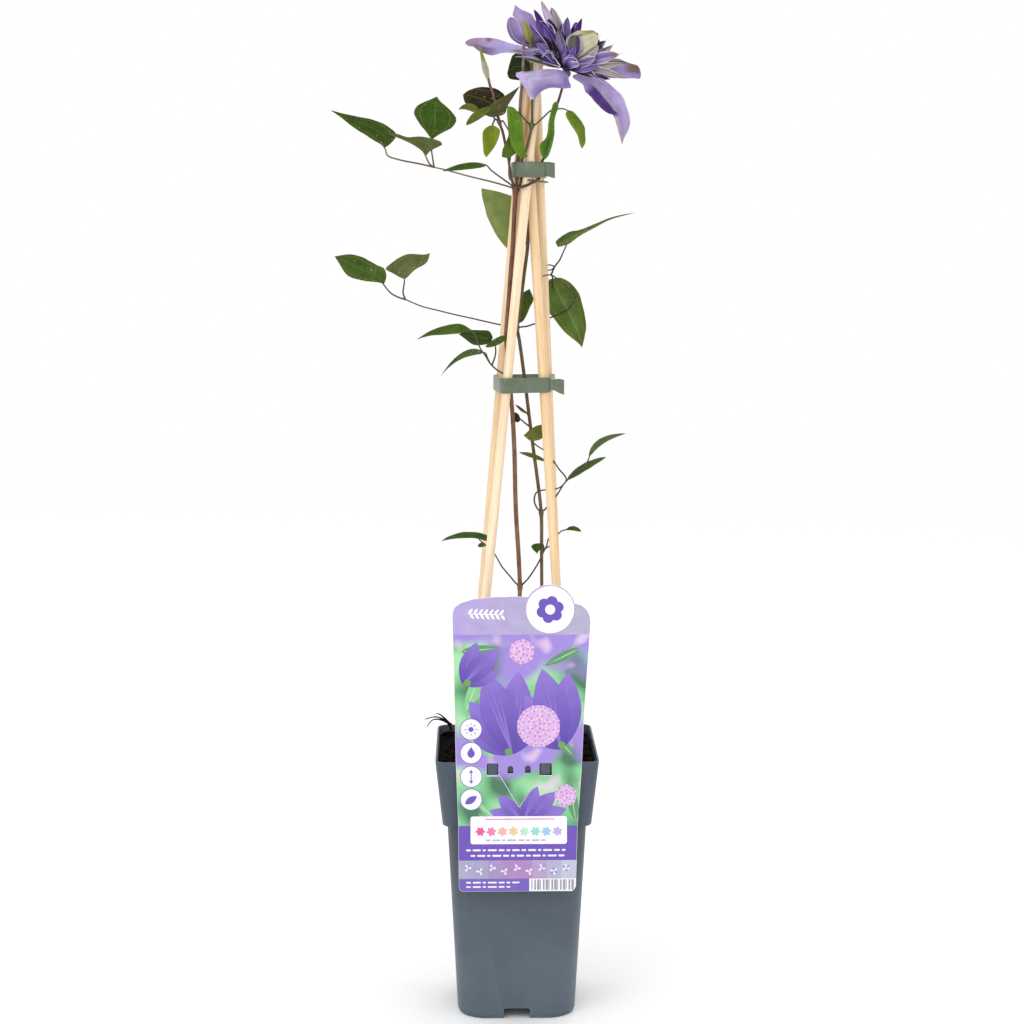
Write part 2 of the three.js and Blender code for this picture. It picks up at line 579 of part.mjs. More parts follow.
leaf('leaf_green_shoot_left', '#5c8a2a', nodes.green_shoot, [
  [[7.2, 578, -10.8], [3, 582.5, -10.8], [-4, 586.9, -10.9], [-15, 587.2, -11.4], [-23.5, 584.8, -12]],
  [[-3.4, 586.7, -11], [-3.6, 585, -12], [-3, 581.5, -12.9]],
], [
  {
    base: [-4, 587.8], tip: [7.4, 555.8],
    left: [[-5.5, 586], [-5.3, 578], [-4.5, 570], [-3, 563.5], [0, 558.5], [3, 555.8]],
    right: [[-1.5, 587], [1.5, 584], [3.5, 581], [4.3, 576.5], [4.5, 571], [5, 565], [6, 559.5]],
    depths: [-12, -13.2, -12.6],
  },
  {
    base: [-20.5, 583], left: [[-18, 587], [-13, 591], [-7, 594.3], [-2, 597.3]], tip: [2.7, 600.5],
    right: [[-16, 581], [-10, 581.8], [-7, 583], [-5.3, 587.5], [-1, 594.5]], depths: [-11.6, -11.2, -11],
  },
  {
    base: [-23, 584.6], tip: [-36.4, 585.7],
    left: [[-25, 587.8], [-28, 589.4], [-32, 589.2], [-35, 587.5]],
    right: [[-26, 583.8], [-29.5, 585], [-33, 585.8]], depths: [-12, -12.2, -12],
  },
  [[-15.5, 587.2, -11.5], [-24, 583, -12.7], [-31.5, 576, -13], [-25.5, 584.7, -12.6],
    [-21.5, 580.7, -12.8], 0.45],
]);
leaf('leaf_stalk_bract', '#56851d', onStem([17.4, 554.5, -4.2], 1.2), [
  [[18.3, 557, -8], [19.6, 562, -9.6], [21, 568, -10.2]],
], [
  {
    base: [18.5, 554.8], tip: [26.3, 590.8],
    left: [[17, 556], [15.5, 559], [15, 562], [15.5, 564.5], [17.5, 566.3], [19, 568], [20, 572],
      [20.5, 577], [21.5, 582], [22.5, 586], [24, 590]],
    right: [[20.5, 556.5], [22, 560], [23.5, 565], [24.5, 571], [24.5, 578], [25.5, 583], [27, 587]],
    depths: [-7.6, -10.4, -12],
  },
]);
leaf('leaf_green_shoot_right', '#6f8f2a', nodes.green_shoot, [
  [[12.6, 576.6, -11.2], [17.5, 581, -10.6], [22, 585, -9.7], [27, 586.2, -9.5], [31, 586, -9.4],
    [35.5, 583, -9.4]],
], [
  {
    base: [33, 585.4], tip: [42, 561.2],
    left: [[31.5, 583.5], [32.5, 580], [35, 576], [38, 571.5], [39.5, 568.5], [40.5, 564]],
    right: [[36, 584.6], [40, 580.5], [42.5, 577], [43.8, 574.5], [44, 570], [44.3, 566], [43.5, 563.5]],
    depths: [-9.4, -9.6, -9.4],
  },
]);
leaf('leaf_upper_left', '#3f6312', nodes.left_top, [
  [[-4, 537.3, -6.4], [-15, 540.4, -8], [-30, 544, -9], [-45, 548, -9], [-52.5, 549.7, -9]],
  [[-52, 549.6, -9], [-60, 551.5, -9], [-75, 554.5, -9], [-81.5, 557, -9], [-83, 561, -9],
    [-86, 566, -9]],
  [[-52, 549.6, -9], [-52.6, 553.5, -9], [-53.5, 560, -8.6], [-53.4, 569, -8]],
  [[-52.5, 549.7, -9], [-55, 551.8, -9.8], [-57, 556, -10.8], [-59, 560, -11]],
], [
  {
    base: [-83.5, 561.5], tip: [-117.5, 585.3],
    left: [[-79, 564.8], [-75.6, 569.8], [-80, 574.3], [-84, 576.8], [-88, 578.3], [-92, 579.8],
      [-100, 581.2], [-110, 583.3]],
    right: [[-86, 564], [-90, 566.3], [-95, 569.5], [-103, 574.5], [-110, 580]],
    depths: [-9, -8, -6],
  },
  {
    base: [-53.5, 566.8], tip: [-50, 593.8],
    left: [[-57, 571.8], [-60.5, 576], [-64, 581.5], [-64.8, 583.5], [-63, 587.5], [-59, 590],
      [-54, 592]],
    right: [[-49.5, 569.5], [-46, 571.5], [-41, 574], [-38.5, 577], [-37.8, 580], [-40, 583.5],
      [-44, 587.5], [-48, 591]],
    depths: [-8, -8, -7],
  },
  {
    base: [-57, 556.8], tip: [-82, 570.6],
    left: [[-54, 560], [-49, 562.5], [-46.3, 564.2], [-47.5, 565.5], [-53, 567.5], [-60, 568.8],
      [-69, 568.5], [-75.5, 570.5]],
    right: [[-60, 560], [-66, 564], [-75, 568]],
    depths: [-10.9, -11, -10],
  },
]);
leaf('leaf_narrow_left', '#4a6a20', nodes.left_top, [
  [[-3.6, 539, -3.2], [-10, 543.5, -4], [-16, 548, -5], [-19, 551, -5.5], [-25, 551, -6]],
], [
  [[-19, 550.8, -5.5], [-31, 550.7, -6], [-46.5, 547.3, -6], [-30, 552.6, -6], [-30, 548.3, -6], 0.45],
]);
leaf('leaf_behind_stakes', '#66803a', onStem([7.5, 500, 0.5], 1.18), [
  [[7.3, 501.5, 5], [6.6, 503.5, 9.3], [2, 508, 9.5]],
], [
  {
    base: [5, 499.5], tip: [-22, 536.4],
    left: [[-1, 497.7], [-5.5, 498.3], [-7.5, 500.5], [-10.5, 504], [-14, 509.5], [-16.5, 514.5],
      [-18.5, 519], [-20, 525], [-21.5, 531]],
    right: [[8, 503], [9.5, 512], [9, 522], [5, 529], [-3, 531.8], [-12, 534.5]],
    depths: [9.4, 9.6, 9],
  },
]);
leaf('leaf_right_middle', '#557a28', nodes.right_middle, [
  [[3.6, 448.4, 3.5], [7, 448.8, 8], [12.3, 450.5, 14.5], [17, 452, 18.8], [20.6, 453.4, 18.6],
    [23.4, 454.8, 17], [27, 456.1, 14.5], [32.6, 458.9, 11], [36.2, 462.5, 9], [38, 467.1, 7.5],
    [36.9, 469.9, 6], [34, 473.1, 4], [29.7, 476.7, 2], [25, 480.3, 0.4], [22.5, 481.7, 0],
    [20, 481.5, 0], [16.8, 480.8, 0]],
  [[22.6, 481.7, 0], [25, 487, -0.5], [28, 491, -1], [30.3, 496, -1.6], [33, 502, -2]],
  [[22.4, 481.6, 0], [23.4, 480.6, 6], [23.6, 479.6, 12], [23.2, 477.4, 17.4], [24.6, 472.5, 19.2]],
  [[25, 487, -0.5], [24.2, 487.2, 4], [23.4, 487.5, 9], [22.6, 487.8, 13], [20.4, 488, 17.4]],
  [[25, 487, -0.5], [24.2, 486, 4], [23.4, 485.2, 9], [22.6, 484.8, 13], [20.4, 484.6, 17.4]],
], [
  {
    base: [27, 499.2], tip: [76.5, 521],
    left: [[25.3, 502.5], [27, 504.5], [31, 507.3], [35, 509.3], [40, 510], [50, 513.8], [60, 517.8],
      [70, 520.2]],
    right: [[34, 501.3], [40, 505.8], [50, 511.3], [60, 516.5], [69, 519.2]],
    depths: [-1.8, -3, -3],
  },
  {
    base: [21.5, 478.8], tip: [42.7, 435.2],
    left: [[19.5, 475], [18.3, 469], [18.6, 463], [21, 457.8], [25, 453], [28, 449],
      [31, 445.5], [35, 442], [40, 438]],
    right: [[28, 480], [33, 478], [36, 475.5], [39, 472], [41.5, 467], [43.5, 460], [45.3, 449],
      [44.5, 443]],
    depths: [18, 21, 21],
  },
]);
leaf('leaf_between_stakes', '#5a7a30', nodes.right_middle, [
  [[1.4, 449.8, 2.6], [3, 453.5, 3.2], [4.4, 457.5, 3.3]],
], [
  {
    base: [2.5, 451], tip: [8.8, 472.8],
    left: [[2, 458], [2.8, 465], [4.5, 470]],
    right: [[4.5, 452], [7, 456], [9, 461], [11.3, 466]],
    depths: [3, 3.2, 3],
  },
]);
leaf('leaf_middle_left', '#4f6f22', nodes.right_middle, [
  [[-0.4, 448.4, 3.2], [-1.7, 448.6, 6.4], [-2.4, 448.9, 9.6], [-3.2, 449, 12], [-5, 449.1, 13.4],
    [-7.5, 449.4, 13.8], [-12, 450.2, 12.9], [-20, 452, 10],
    [-30, 454.3, 6], [-40, 456.5, 3], [-50, 459, 0], [-60, 461.5, -2], [-71.5, 466.3, -4]],
  [[-70.8, 466, -4], [-75, 467.3, -4.4], [-80, 470, -5], [-83.5, 474, -5], [-87.5, 479.5, -5]],
  [[-70.8, 466, -4], [-72.2, 470, -5], [-71.5, 476, -7], [-70.8, 482, -8]],
], [
  {
    base: [-84.4, 475.8], tip: [-115.8, 493.4],
    left: [[-82.8, 480], [-84, 485.6], [-89, 488], [-97, 492.5], [-106, 494.7]],
    right: [[-88, 476.8], [-98, 478], [-108, 481.5], [-113, 489]],
    depths: [-5, -5, -4],
  },
  {
    base: [-71.6, 479], tip: [-54.7, 495.5],
    left: [[-73.5, 479.8], [-79, 482.8], [-83.4, 485.4], [-78, 490.3], [-70, 494.7], [-58, 494.6]],
    right: [[-69.5, 480], [-65, 484.5], [-57, 489.5]],
    depths: [-7.8, -8.2, -8],
  },
]);
leaf('leaf_strap_left', '#3f5f1a', null, [
  [[-6.4, 417.4, -8.4], [-8.5, 418.7, -8.3], [-11, 420, -8.3], [-16, 424.3, -8.6], [-20, 430.5, -8.8],
    [-22.5, 434, -9], [-25.5, 441, -9], [-27, 445, -9], [-33, 447, -9]],
  [[-15.4, 423.8, -8.6], [-14, 427.5, -9.2], [-13, 431.5, -10], [-12.8, 437.5, -10.6],
    [-11, 439, -10.6]],
  [[-16.6, 425, -8.6], [-18.3, 428.5, -9.4], [-19.6, 431.6, -9.8], [-24, 432, -10]],
], [
  {
    base: [-28, 446.2], tip: [-64, 440.3],
    left: [[-35, 450.3], [-45, 449.4], [-55, 446]],
    right: [[-37, 444.2], [-46, 443.4], [-55, 442.8]],
    depths: [-9, -9, -8],
  },
  {
    base: [-36.8, 443.8], tip: [-14.7, 441.5],
    left: [[-30, 446.3], [-24, 446.4], [-17, 445.7]],
    right: [[-33, 441], [-28, 437.3], [-24, 436.7], [-17, 438]],
    depths: [-8.6, -8.8, -8.8],
  },
  [[-19.5, 435.8, -10.3], [-13, 438.6, -10.6], [-7.6, 441.8, -10.7], [-11.5, 441.9, -10.6],
    [-12, 436.7, -10.6], 0.55],
  [[-21.5, 431.8, -10], [-36, 429.9, -10], [-48.5, 416.7, -9], [-31.5, 433.6, -10],
    [-33, 428.6, -10], 0.4],
]);
leaf('leaf_olive', '#75793a', nodes.right_low, [
  [[19.5, 330.6, 0], [22.5, 334.5, -0.5], [27, 340, -2], [30, 345, -3], [32.8, 349.8, -3],
    [28, 356.5, -3],
    [24.5, 361.5, -2.8], [18, 368.8, -2.8], [14, 371.5, -3], [11.3, 374, -3.4], [10.8, 377.5, -3.6]],
  [[25.3, 360.5, -2.8], [22, 361.6, -3.2], [17.5, 362.3, -3.4]],
], [
  {
    base: [18, 381.2], tip: [5, 378.5],
    left: [[17, 385.3], [10.5, 383.2]],
    right: [[17.5, 377], [10, 374.7]],
    depths: [-3.6, -3.8, -3.6],
  },
  [[19.5, 361.6, -3.3], [11, 364.9, -3.5], [2, 367.3, -3.5], [12, 366.4, -3.5],
    [11.4, 363.4, -3.5], 0.4],
]);
leaf('leaf_small_dark', '#35401a', onStem([9.2, 384, 0], 1.12), [
  [[7, 385.6, -1.6], [5, 387.2, -2.4], [2.6, 389.2, -3.2], [1, 389.8, -3.4]],
], [
  [[3, 388.8, -3.2], [0, 390.5, -3.5], [-3.6, 391.7, -3.5], [0.3, 393.2, -3.5],
    [-0.3, 387.2, -3.5], 0.45],
]);
leaf('leaf_thin_dry', '#7a6a40', onStem([8.5, 390.5, 0], 1.12), [
  [[7.6, 392, -2], [6.4, 393.6, -2.6], [4.5, 394.9, -2.9]],
], [
  [[7, 392.8, -2.4], [4, 395.2, -3], [-0.6, 398.6, -3.2], [3.8, 396.3, -3], [3.2, 394.2, -3], 0.4],
]);
leaf('leaf_lower_right', '#5f7d2c', nodes.right_low, [
  [[13.9, 330.9, -2.6], [12.2, 334.5, -3.6], [12.2, 338.5, -4], [13.5, 341.3, -5], [16, 342.4, -6],
    [20, 343, -6.5],
    [27, 343.8, -7], [30, 345.5, -7], [33, 349, -7], [37, 352, -7.2]],
  [[32.6, 348.5, -7], [36, 351.6, -8], [40, 354.5, -8.8], [44, 357.5, -9], [46.8, 362, -9],
    [48.2, 366.5, -9]],
], [
  [[33.5, 349.4, -7], [45, 357.7, -7.5], [58.5, 364.3, -8], [42, 359, -7.5], [46, 355.8, -7.6], 0.45],
  [[47.3, 364.5, -9], [55, 374.3, -9], [71, 379.5, -8], [53, 375.3, -9], [56, 372.4, -9], 0.45],
]);
leaf('leaf_lower_left', '#3d5a1c', nodes.left_low, [
  [[0, 281.6, -5.6], [-4, 286.4, -7], [-9, 292.5, -8], [-14, 301, -8], [-19.5, 306.5, -8],
    [-24, 310.5, -8]],
], [
  {
    base: [-14.5, 309.5], tip: [-49, 309],
    left: [[-14.6, 312], [-19, 313.6], [-24, 315], [-30, 315.6], [-36, 315.2], [-45, 312]],
    right: [[-19, 309.4], [-24, 310.8], [-29, 311.4], [-38, 311.2], [-46, 310]],
    depths: [-8, -8, -7],
  },
  [[-19.8, 307, -8], [-22.2, 307.2, -8.2], [-24.8, 306.2, -8], [-22.2, 308.6, -8],
    [-22, 305.4, -8.4], 0.5],
]);
leaf('leaf_lower_twig', '#3d5a1c', nodes.left_low, [
  [[5, 281.3, -5.4], [8, 284.5, -5.6], [13, 292, -6], [16, 297.5, -6], [18.5, 303, -6], [20, 306, -6],
    [21.8, 311.5, -6],
    [27.5, 314, -5.6], [30, 316, -5.2], [35, 317.2, -5]],
  [[18.3, 302.6, -6], [18.1, 305.5, -6], [17.2, 307.6, -6.2], [14.5, 306.3, -6.4]],
  [[19.2, 304.4, -6], [22.4, 306.2, -6.4]],
], [
  {
    base: [17.6, 307.8], tip: [14, 300.9],
    left: [[14.5, 307.9], [11.2, 307.2], [9.9, 306], [11, 304]],
    right: [[17.8, 306], [16.5, 304.2], [15, 302.8]],
    depths: [-6.2, -6.4, -6.4],
  },
  [[32.5, 316.8, -5.1], [37.5, 317.7, -5], [42.6, 315.6, -5], [37.8, 319.2, -5], [37, 316.2, -5], 0.5],
]);

// Buds: pointed spindles on the ends of their shoots
const BUD_RINGS = [[0.04, 0.5], [0.18, 0.9], [0.36, 1], [0.58, 0.78], [0.8, 0.42]];

function bud(base, tip, radius) {
  const axis = tip.clone().sub(base);
  const side = new THREE.Vector3(0, 1, 0).cross(axis).normalize();
  const depth = axis.clone().cross(side).normalize();
  const rings = BUD_RINGS.map(([share, girth]) => polygon(8, radius * girth).map((corner) => (
    base.clone().addScaledVector(axis, share)
      .addScaledVector(side, corner.x).addScaledVector(depth, corner.y))));
  return loft([[base], ...rings, [tip]]);
}

add('flower_bud_left', bud(sighted([-17.9, 605.9, -8]), sighted([-23, 625.6, -8]), 2.2), '#9a9a5a', 0.8);
add('flower_bud_middle', bud(sighted([9.4, 628.2, -2]), sighted([4.7, 642, -2]), 2.5), '#8f9a52', 0.8);

// Flower: a receptacle, six long outer sepals and a full rosette of narrower petals
add('flower_receptacle', ball(receptacle.centre, receptacle.radius, 1, 10), '#6f7a3a', 0.8);
function sepal(name, colour, points, widest, fullness = 1) {
  const [middle, tip, left, right] = points.map(sighted);
  const base = seatOn({ centre: receptacle.centre, radius: receptacle.radius / 1.1 }, middle);
  add(name, narrowBlade(base, [middle, tip, left, right], widest, fullness), colour, 0.65);
}

sepal('sepal_left', '#a79bd0',
  [[-2, 623.8, -5.8], [-32, 627, -4], [-15, 630.6, -4.4], [-15, 618.8, -5]], 0.7, 0.9);
sepal('sepal_upper_left', '#b7abdf',
  [[14, 630.5, 4], [-0.5, 650.5, 3], [-3, 641.5, 3.5], [12, 643.8, 3]], 0.72);
sepal('sepal_left_back', '#9d90cc',
  [[12, 626.5, 8], [-5.4, 636.5, 8.5], [-2, 641.8, 8.6], [1, 626.4, 8.4]], 0.78);
sepal('sepal_front', '#b7abdf',
  [[18, 604.5, -14.5], [9.5, 592, -14], [1, 607.5, -13], [26, 597.8, -14]], 0.55, 0.7);
sepal('sepal_right_hanging', '#8f83c8',
  [[61, 595.5, -10], [67.5, 564, -8], [64.3, 601.5, -9], [51.5, 588.5, -9]], 0.45, 0.9);
sepal('sepal_right', '#a79bd0',
  [[58, 611, -6], [78.6, 609, -5], [66, 619.5, -5.5], [66, 604.8, -5]], 0.62, 0.9);

// A rosette petal faces the front: its two edges lie straight out from its midrib
function petal(core, [middle, tip, halfWidth], widest = 0.6) {
  const [centre, end] = [middle, tip].map(sighted);
  const out = end.clone().sub(core.centre).cross(new THREE.Vector3(0, 1, 0)).setLength(halfWidth);
  const start = core.centre.clone();
  const pull = centre.clone().multiplyScalar(2).sub(start.clone().add(end).multiplyScalar(0.5));
  const widestPoint = new THREE.QuadraticBezierCurve3(start, pull, end).getPoint(widest);
  const sides = [widestPoint.clone().add(out), widestPoint.clone().sub(out)];
  return narrowBlade(start, [centre, end, ...sides], widest, 0.9);
}

function rosette(name, colour, core, petals) {
  const skins = petals.map((points) => petal(core, points));
  add(name, joined([ball(core.centre, core.radius, 1, 7), ...skins]), colour, 0.65);
}

const frontCore = { centre: receptacle.centre.clone().add(new THREE.Vector3(2.4, -1.5, 5.3)), radius: 2 };
const backCore = { centre: receptacle.centre.clone().add(new THREE.Vector3(1.9, 3.5, 5.3)), radius: 2.4 };
rosette('petals_front', '#c6bce6', frontCore, [
  [[17, 622.2, -11.4], [6.5, 622, -11.8], 1],
  [[17, 616, -11.6], [0, 618.5, -11.4], 1.1],
  [[27, 617, -13], [19, 622.5, -13], 2.2],
  [[44, 623, -13.5], [48.5, 634.6, -13.5], 5.4],
  [[43, 617, -15], [52, 625.5, -15], 3.4],
  [[50, 614.8, -13], [66, 620.2, -12], 4],
  [[52, 612, -12], [70, 614, -10.5], 2.8],
  [[49, 610, -12.6], [65, 606.6, -12], 2.8],
  [[46, 620, -11], [56.8, 628, -10], 3],
  [[49, 618, -10.2], [61, 625.5, -9.8], 2.8],
]);
rosette('petals_back', '#b7abdf', backCore, [
  [[22, 626.5, -4.4], [11.5, 638, -4.4], 3.2],
  [[22, 630, -3.4], [11.6, 647.6, -3], 2.8],
  [[23.5, 634, -4], [15.8, 653, -4], 2.2],
  [[27, 632, -3], [22.3, 648.8, -2], 3.6],
  [[32, 628, -2.6], [32.5, 643, -1.6], 3.2],
  [[38, 628, -2.2], [41.8, 642, -1.6], 2.4],
  [[43, 622, 0], [51.5, 633.4, 2], 4],
  [[46, 618, 3], [59, 622.5, 7], 4],
  [[36.5, 626, 3], [38, 640, 8.5], 4],
  [[32, 624, 4], [27, 638, 10.5], 4],
]);

export default group;
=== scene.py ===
# %% [markdown]
# # A clematis in its nursery pot
# A young climber stands in a square plastic pot. Four thin wooden canes hold it up, two flat
# straps and a green wire hold it to the canes, and a printed plate hangs on the front of the rim.
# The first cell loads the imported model. Each of its solids is then shown by a finer piece that
# is made here, in the same place, with the finish of the real material.

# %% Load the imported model
import itertools
import math
import random
from functools import partial

import bmesh
import bpy
from mathutils import Matrix, Vector, noise


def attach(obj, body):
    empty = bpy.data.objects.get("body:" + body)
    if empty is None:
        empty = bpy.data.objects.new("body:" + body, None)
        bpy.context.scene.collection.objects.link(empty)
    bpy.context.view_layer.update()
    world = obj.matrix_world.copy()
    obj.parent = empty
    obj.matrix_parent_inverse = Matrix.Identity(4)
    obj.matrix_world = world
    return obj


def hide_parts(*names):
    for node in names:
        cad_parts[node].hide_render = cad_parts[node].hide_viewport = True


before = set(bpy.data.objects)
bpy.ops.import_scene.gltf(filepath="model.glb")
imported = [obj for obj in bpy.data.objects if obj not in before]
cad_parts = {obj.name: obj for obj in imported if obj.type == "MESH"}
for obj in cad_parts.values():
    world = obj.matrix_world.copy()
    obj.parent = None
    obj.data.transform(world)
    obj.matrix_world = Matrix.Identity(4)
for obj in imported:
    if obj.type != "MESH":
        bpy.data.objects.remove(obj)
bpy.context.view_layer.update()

print("nodes loaded:", len(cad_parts))

# %% [markdown]
# ## The camera
# The plant was drawn from one eye point, so the camera stands at that same point. It looks a
# little down and a little to the right. The focal length comes from the picture's own scale:
# 2070 pixels of focal length across a picture 1024 pixels wide.

# %% Put the camera at the eye
MM = 0.001
EYE = Vector((-27.9, -1333.7, 505.6))
PITCH = math.radians(7.565)
YAW = math.radians(1.092)
FOCAL_PIXELS = 2070
PICTURE_PIXELS = 1024

camera_data = bpy.data.cameras.new("camera")
camera_data.sensor_width = 36
camera_data.lens = FOCAL_PIXELS / PICTURE_PIXELS * camera_data.sensor_width
camera = bpy.data.objects.new("camera", camera_data)
bpy.context.scene.collection.objects.link(camera)
sight = Vector((math.sin(YAW) * math.cos(PITCH), math.cos(YAW) * math.cos(PITCH), -math.sin(PITCH)))
camera.location = EYE * MM
camera.rotation_euler = sight.to_track_quat("-Z", "Y").to_euler()
bpy.context.scene.camera = camera


def sighted(x, z, y=0.0):
    """The point at depth y on the line of sight through (x, z) on the plane y = 0, all in mm."""
    seen = Vector((x, 0, z))
    return EYE + (seen - EYE) * ((y - EYE.y) / -EYE.y)


print("lens in mm:", round(camera_data.lens, 2))

# %% [markdown]
# ## Pieces from points and faces
# Stems, leaves and petals have no straight edges, so they are made point by point. A Skin
# collects points in millimetres and faces. Each point also keeps a tint, which is its own
# colour, and a place. On a blade the place says how far along and how far across the point is,
# with one number that differs from blade to blade. On a tube it is the point's spot on the same
# tube pulled straight. The materials read both, so one leaf material serves every leaf, and wood
# grain follows its cane.

# %% Collect points and faces, and turn them into a piece
def linear(code):
    """A colour written as sRGB hex, as the linear values that the shaders use."""
    channels = [int(code[i:i + 2], 16) / 255 for i in (1, 3, 5)]
    curve = [c / 12.92 if c <= 0.04045 else ((c + 0.055) / 1.055) ** 2.4 for c in channels]
    return (*curve, 1.0)


class Skin:
    def __init__(self):
        self.points = []
        self.faces = []
        self.tints = []
        self.places = []
        self.coats = []

    def add(self, points, faces, places=None, tint="#ffffff", coat=0):
        """tint is one hex colour, or one for each point. coat is the number of the material."""
        start = len(self.points)
        tints = [tint] * len(points) if isinstance(tint, str) else tint
        self.points += points
        self.faces += [[start + i for i in face] for face in faces]
        self.tints += [linear(code) for code in tints]
        self.places += places or [(0, 0, 0)] * len(points)
        self.coats += [coat] * len(faces)


def make_piece(name, skin, materials, smooth_below=60):
    """One mesh with its faces turned outwards, riding on the frame and standing for its CAD node."""
    mesh = bpy.data.meshes.new(name)
    mesh.from_pydata([point * MM for point in skin.points], [], skin.faces)
    tint = mesh.attributes.new("tint", "FLOAT_COLOR", "POINT")
    tint.data.foreach_set("color", [value for colour in skin.tints for value in colour])
    place = mesh.attributes.new("place", "FLOAT_VECTOR", "POINT")
    place.data.foreach_set("vector", [value for spot in skin.places for value in spot])
    for material in materials:
        mesh.materials.append(material)
    mesh.polygons.foreach_set("material_index", skin.coats)
    shell = bmesh.new()
    shell.from_mesh(mesh)
    bmesh.ops.recalc_face_normals(shell, faces=shell.faces)
    shell.to_mesh(mesh)
    shell.free()
    mesh.shade_smooth()
    mesh.set_sharp_from_angle(angle=math.radians(smooth_below))
    piece = bpy.data.objects.new("piece_" + name, mesh)
    bpy.context.scene.collection.objects.link(piece)
    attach(piece, "root")
    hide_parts(name)
    return piece


def loft(rings):
    """Points and faces of a closed skin over rings. A ring of one point ends it in a tip."""
    points = [point for ring in rings for point in ring]
    starts = [0]
    for ring in rings:
        starts.append(starts[-1] + len(ring))
    faces = []
    for i in range(len(rings) - 1):
        low, high = rings[i], rings[i + 1]
        count = max(len(low), len(high))
        for k in range(count):
            after = (k + 1) % count
            below = [starts[i] + (spot if len(low) > 1 else 0) for spot in (k, after)]
            above = [starts[i + 1] + (spot if len(high) > 1 else 0) for spot in (after, k)]
            faces.append(list(dict.fromkeys(below + above)))
    for i in (0, len(rings) - 1):
        if len(rings[i]) > 2:
            faces.append(list(range(starts[i], starts[i + 1])))
    return points, faces


# %% [markdown]
# ## Stems, stalks and canes as tubes
# A bevelled curve would give a tube of one thickness. A real stem thickens at its nodes and has
# fine ribs, so the tube is swept here: rings of points stand square to a smooth line, each with
# its own radius.

# %% Sweep a tube along a smooth line
def smooth_line(points, steps):
    """A centripetal Catmull-Rom line through the points, with so many steps in each span."""
    ends = [points[0] * 2 - points[1], *points, points[-1] * 2 - points[-2]]
    line = []
    for a, b, c, d in zip(ends, ends[1:], ends[2:], ends[3:]):
        before, span, after = [max((q - p).length, 1e-6) ** 0.5 for p, q in ((a, b), (b, c), (c, d))]
        leave = ((b - a) / before - (c - a) / (before + span) + (c - b) / span) * span
        arrive = ((c - b) / span - (d - b) / (span + after) + (d - c) / after) * span
        for k in range(steps):
            t = k / steps
            line.append((2 * t ** 3 - 3 * t ** 2 + 1) * b + (t ** 3 - 2 * t ** 2 + t) * leave
                        + (3 * t ** 2 - 2 * t ** 3) * c + (t ** 3 - t ** 2) * arrive)
    line.append(points[-1].copy())
    return line


def tube(line, radius_at, sides=12, ribs=0, rib_depth=0.0):
    """A swept tube. radius_at(share, point) gives the radius at a share of the way along."""
    rings = []
    places = []
    length = 0.0
    across = (line[1] - line[0]).orthogonal().normalized()
    for i, point in enumerate(line):
        ahead = line[min(i + 1, len(line) - 1)] - line[max(i - 1, 0)]
        across = (across - across.project(ahead)).normalized()
        other = ahead.cross(across).normalized()
        radius = radius_at(i / (len(line) - 1), point)
        length += (point - line[max(i - 1, 0)]).length
        ring = []
        for k in range(sides):
            angle = 2 * math.pi * k / sides
            reach = radius * (1 + rib_depth * math.cos(ribs * angle))
            ring.append(point + across * (reach * math.cos(angle)) + other * (reach * math.sin(angle)))
            places.append((reach * math.cos(angle) * MM, reach * math.sin(angle) * MM, length * MM))
        rings.append(ring)
    return *loft(rings), places


def circle(centre, radius, sides):
    """Points on a level circle."""
    angles = [math.tau * k / sides for k in range(sides)]
    return [centre + Vector((radius * math.cos(angle), radius * math.sin(angle), 0)) for angle in angles]


def ball(centre, radius, stretch=1.0, sides=16):
    """A round body, taller than it is wide by the factor stretch."""
    up = Vector((0, 0, radius * stretch))
    polars = [math.pi * i / (sides // 2) for i in range(1, sides // 2)]
    rings = [circle(centre - up * math.cos(polar), radius * math.sin(polar), sides) for polar in polars]
    return loft([[centre - up], *rings, [centre + up]])


print("a test tube has", len(tube([Vector((0, 0, z)) for z in range(4)], lambda s, p: 1)[0]), "points")

# %% [markdown]
# ## Materials from nodes
# Every finish below is a Principled shader with a few nodes for its colour, roughness and bump.
# One function adds a node, sets it and links it, and each new material brings it along for its own
# nodes. Pattern scales are given as a size in
# millimetres: Blender's noise has a scale of one feature per metre, so the scale is 1000 / size.

# %% A function that adds a node, and one that starts a material
def add_node(tree, kind, inputs=None, stops=(), feeds=None, **settings):
    """Adds a node with its settings and links.

    inputs gives each socket a value, a hex colour, an output, or a node, whose first output is
    then linked. stops are the positions and colours of a ramp, and a plain number stands for a
    grey. feeds names the socket of the material's shader that the node is linked to.
    """
    node = tree.nodes.new("ShaderNode" + kind)
    for key, value in settings.items():
        setattr(node, key, value)
    for key, value in (inputs or {}).items():
        if isinstance(value, bpy.types.Node):
            value = value.outputs[0]
        if isinstance(value, bpy.types.NodeSocket):
            tree.links.new(value, node.inputs[key])
        else:
            node.inputs[key].default_value = linear(value) if isinstance(value, str) else value
    for i, (position, colour) in enumerate(stops):
        elements = node.color_ramp.elements
        stop = elements[i] if i < 2 else elements.new(position)
        stop.position = position
        stop.color = linear(colour) if isinstance(colour, str) else (colour, colour, colour, 1)
    if feeds:
        tree.links.new(node.outputs[0], tree.nodes["Principled BSDF"].inputs[feeds])
    return node


def start_material(name, **sockets):
    """A new material whose Principled shader has the given values, and add_node for its tree."""
    material = bpy.data.materials.new(name)
    material.use_nodes = True
    tree = material.node_tree
    shader = tree.nodes["Principled BSDF"]
    for key, value in sockets.items():
        shader.inputs[key.replace("_", " ")].default_value = value
    return material, partial(add_node, tree)


def per_mm(size):
    """The scale of a noise whose features are this many millimetres wide."""
    return 1000 / size


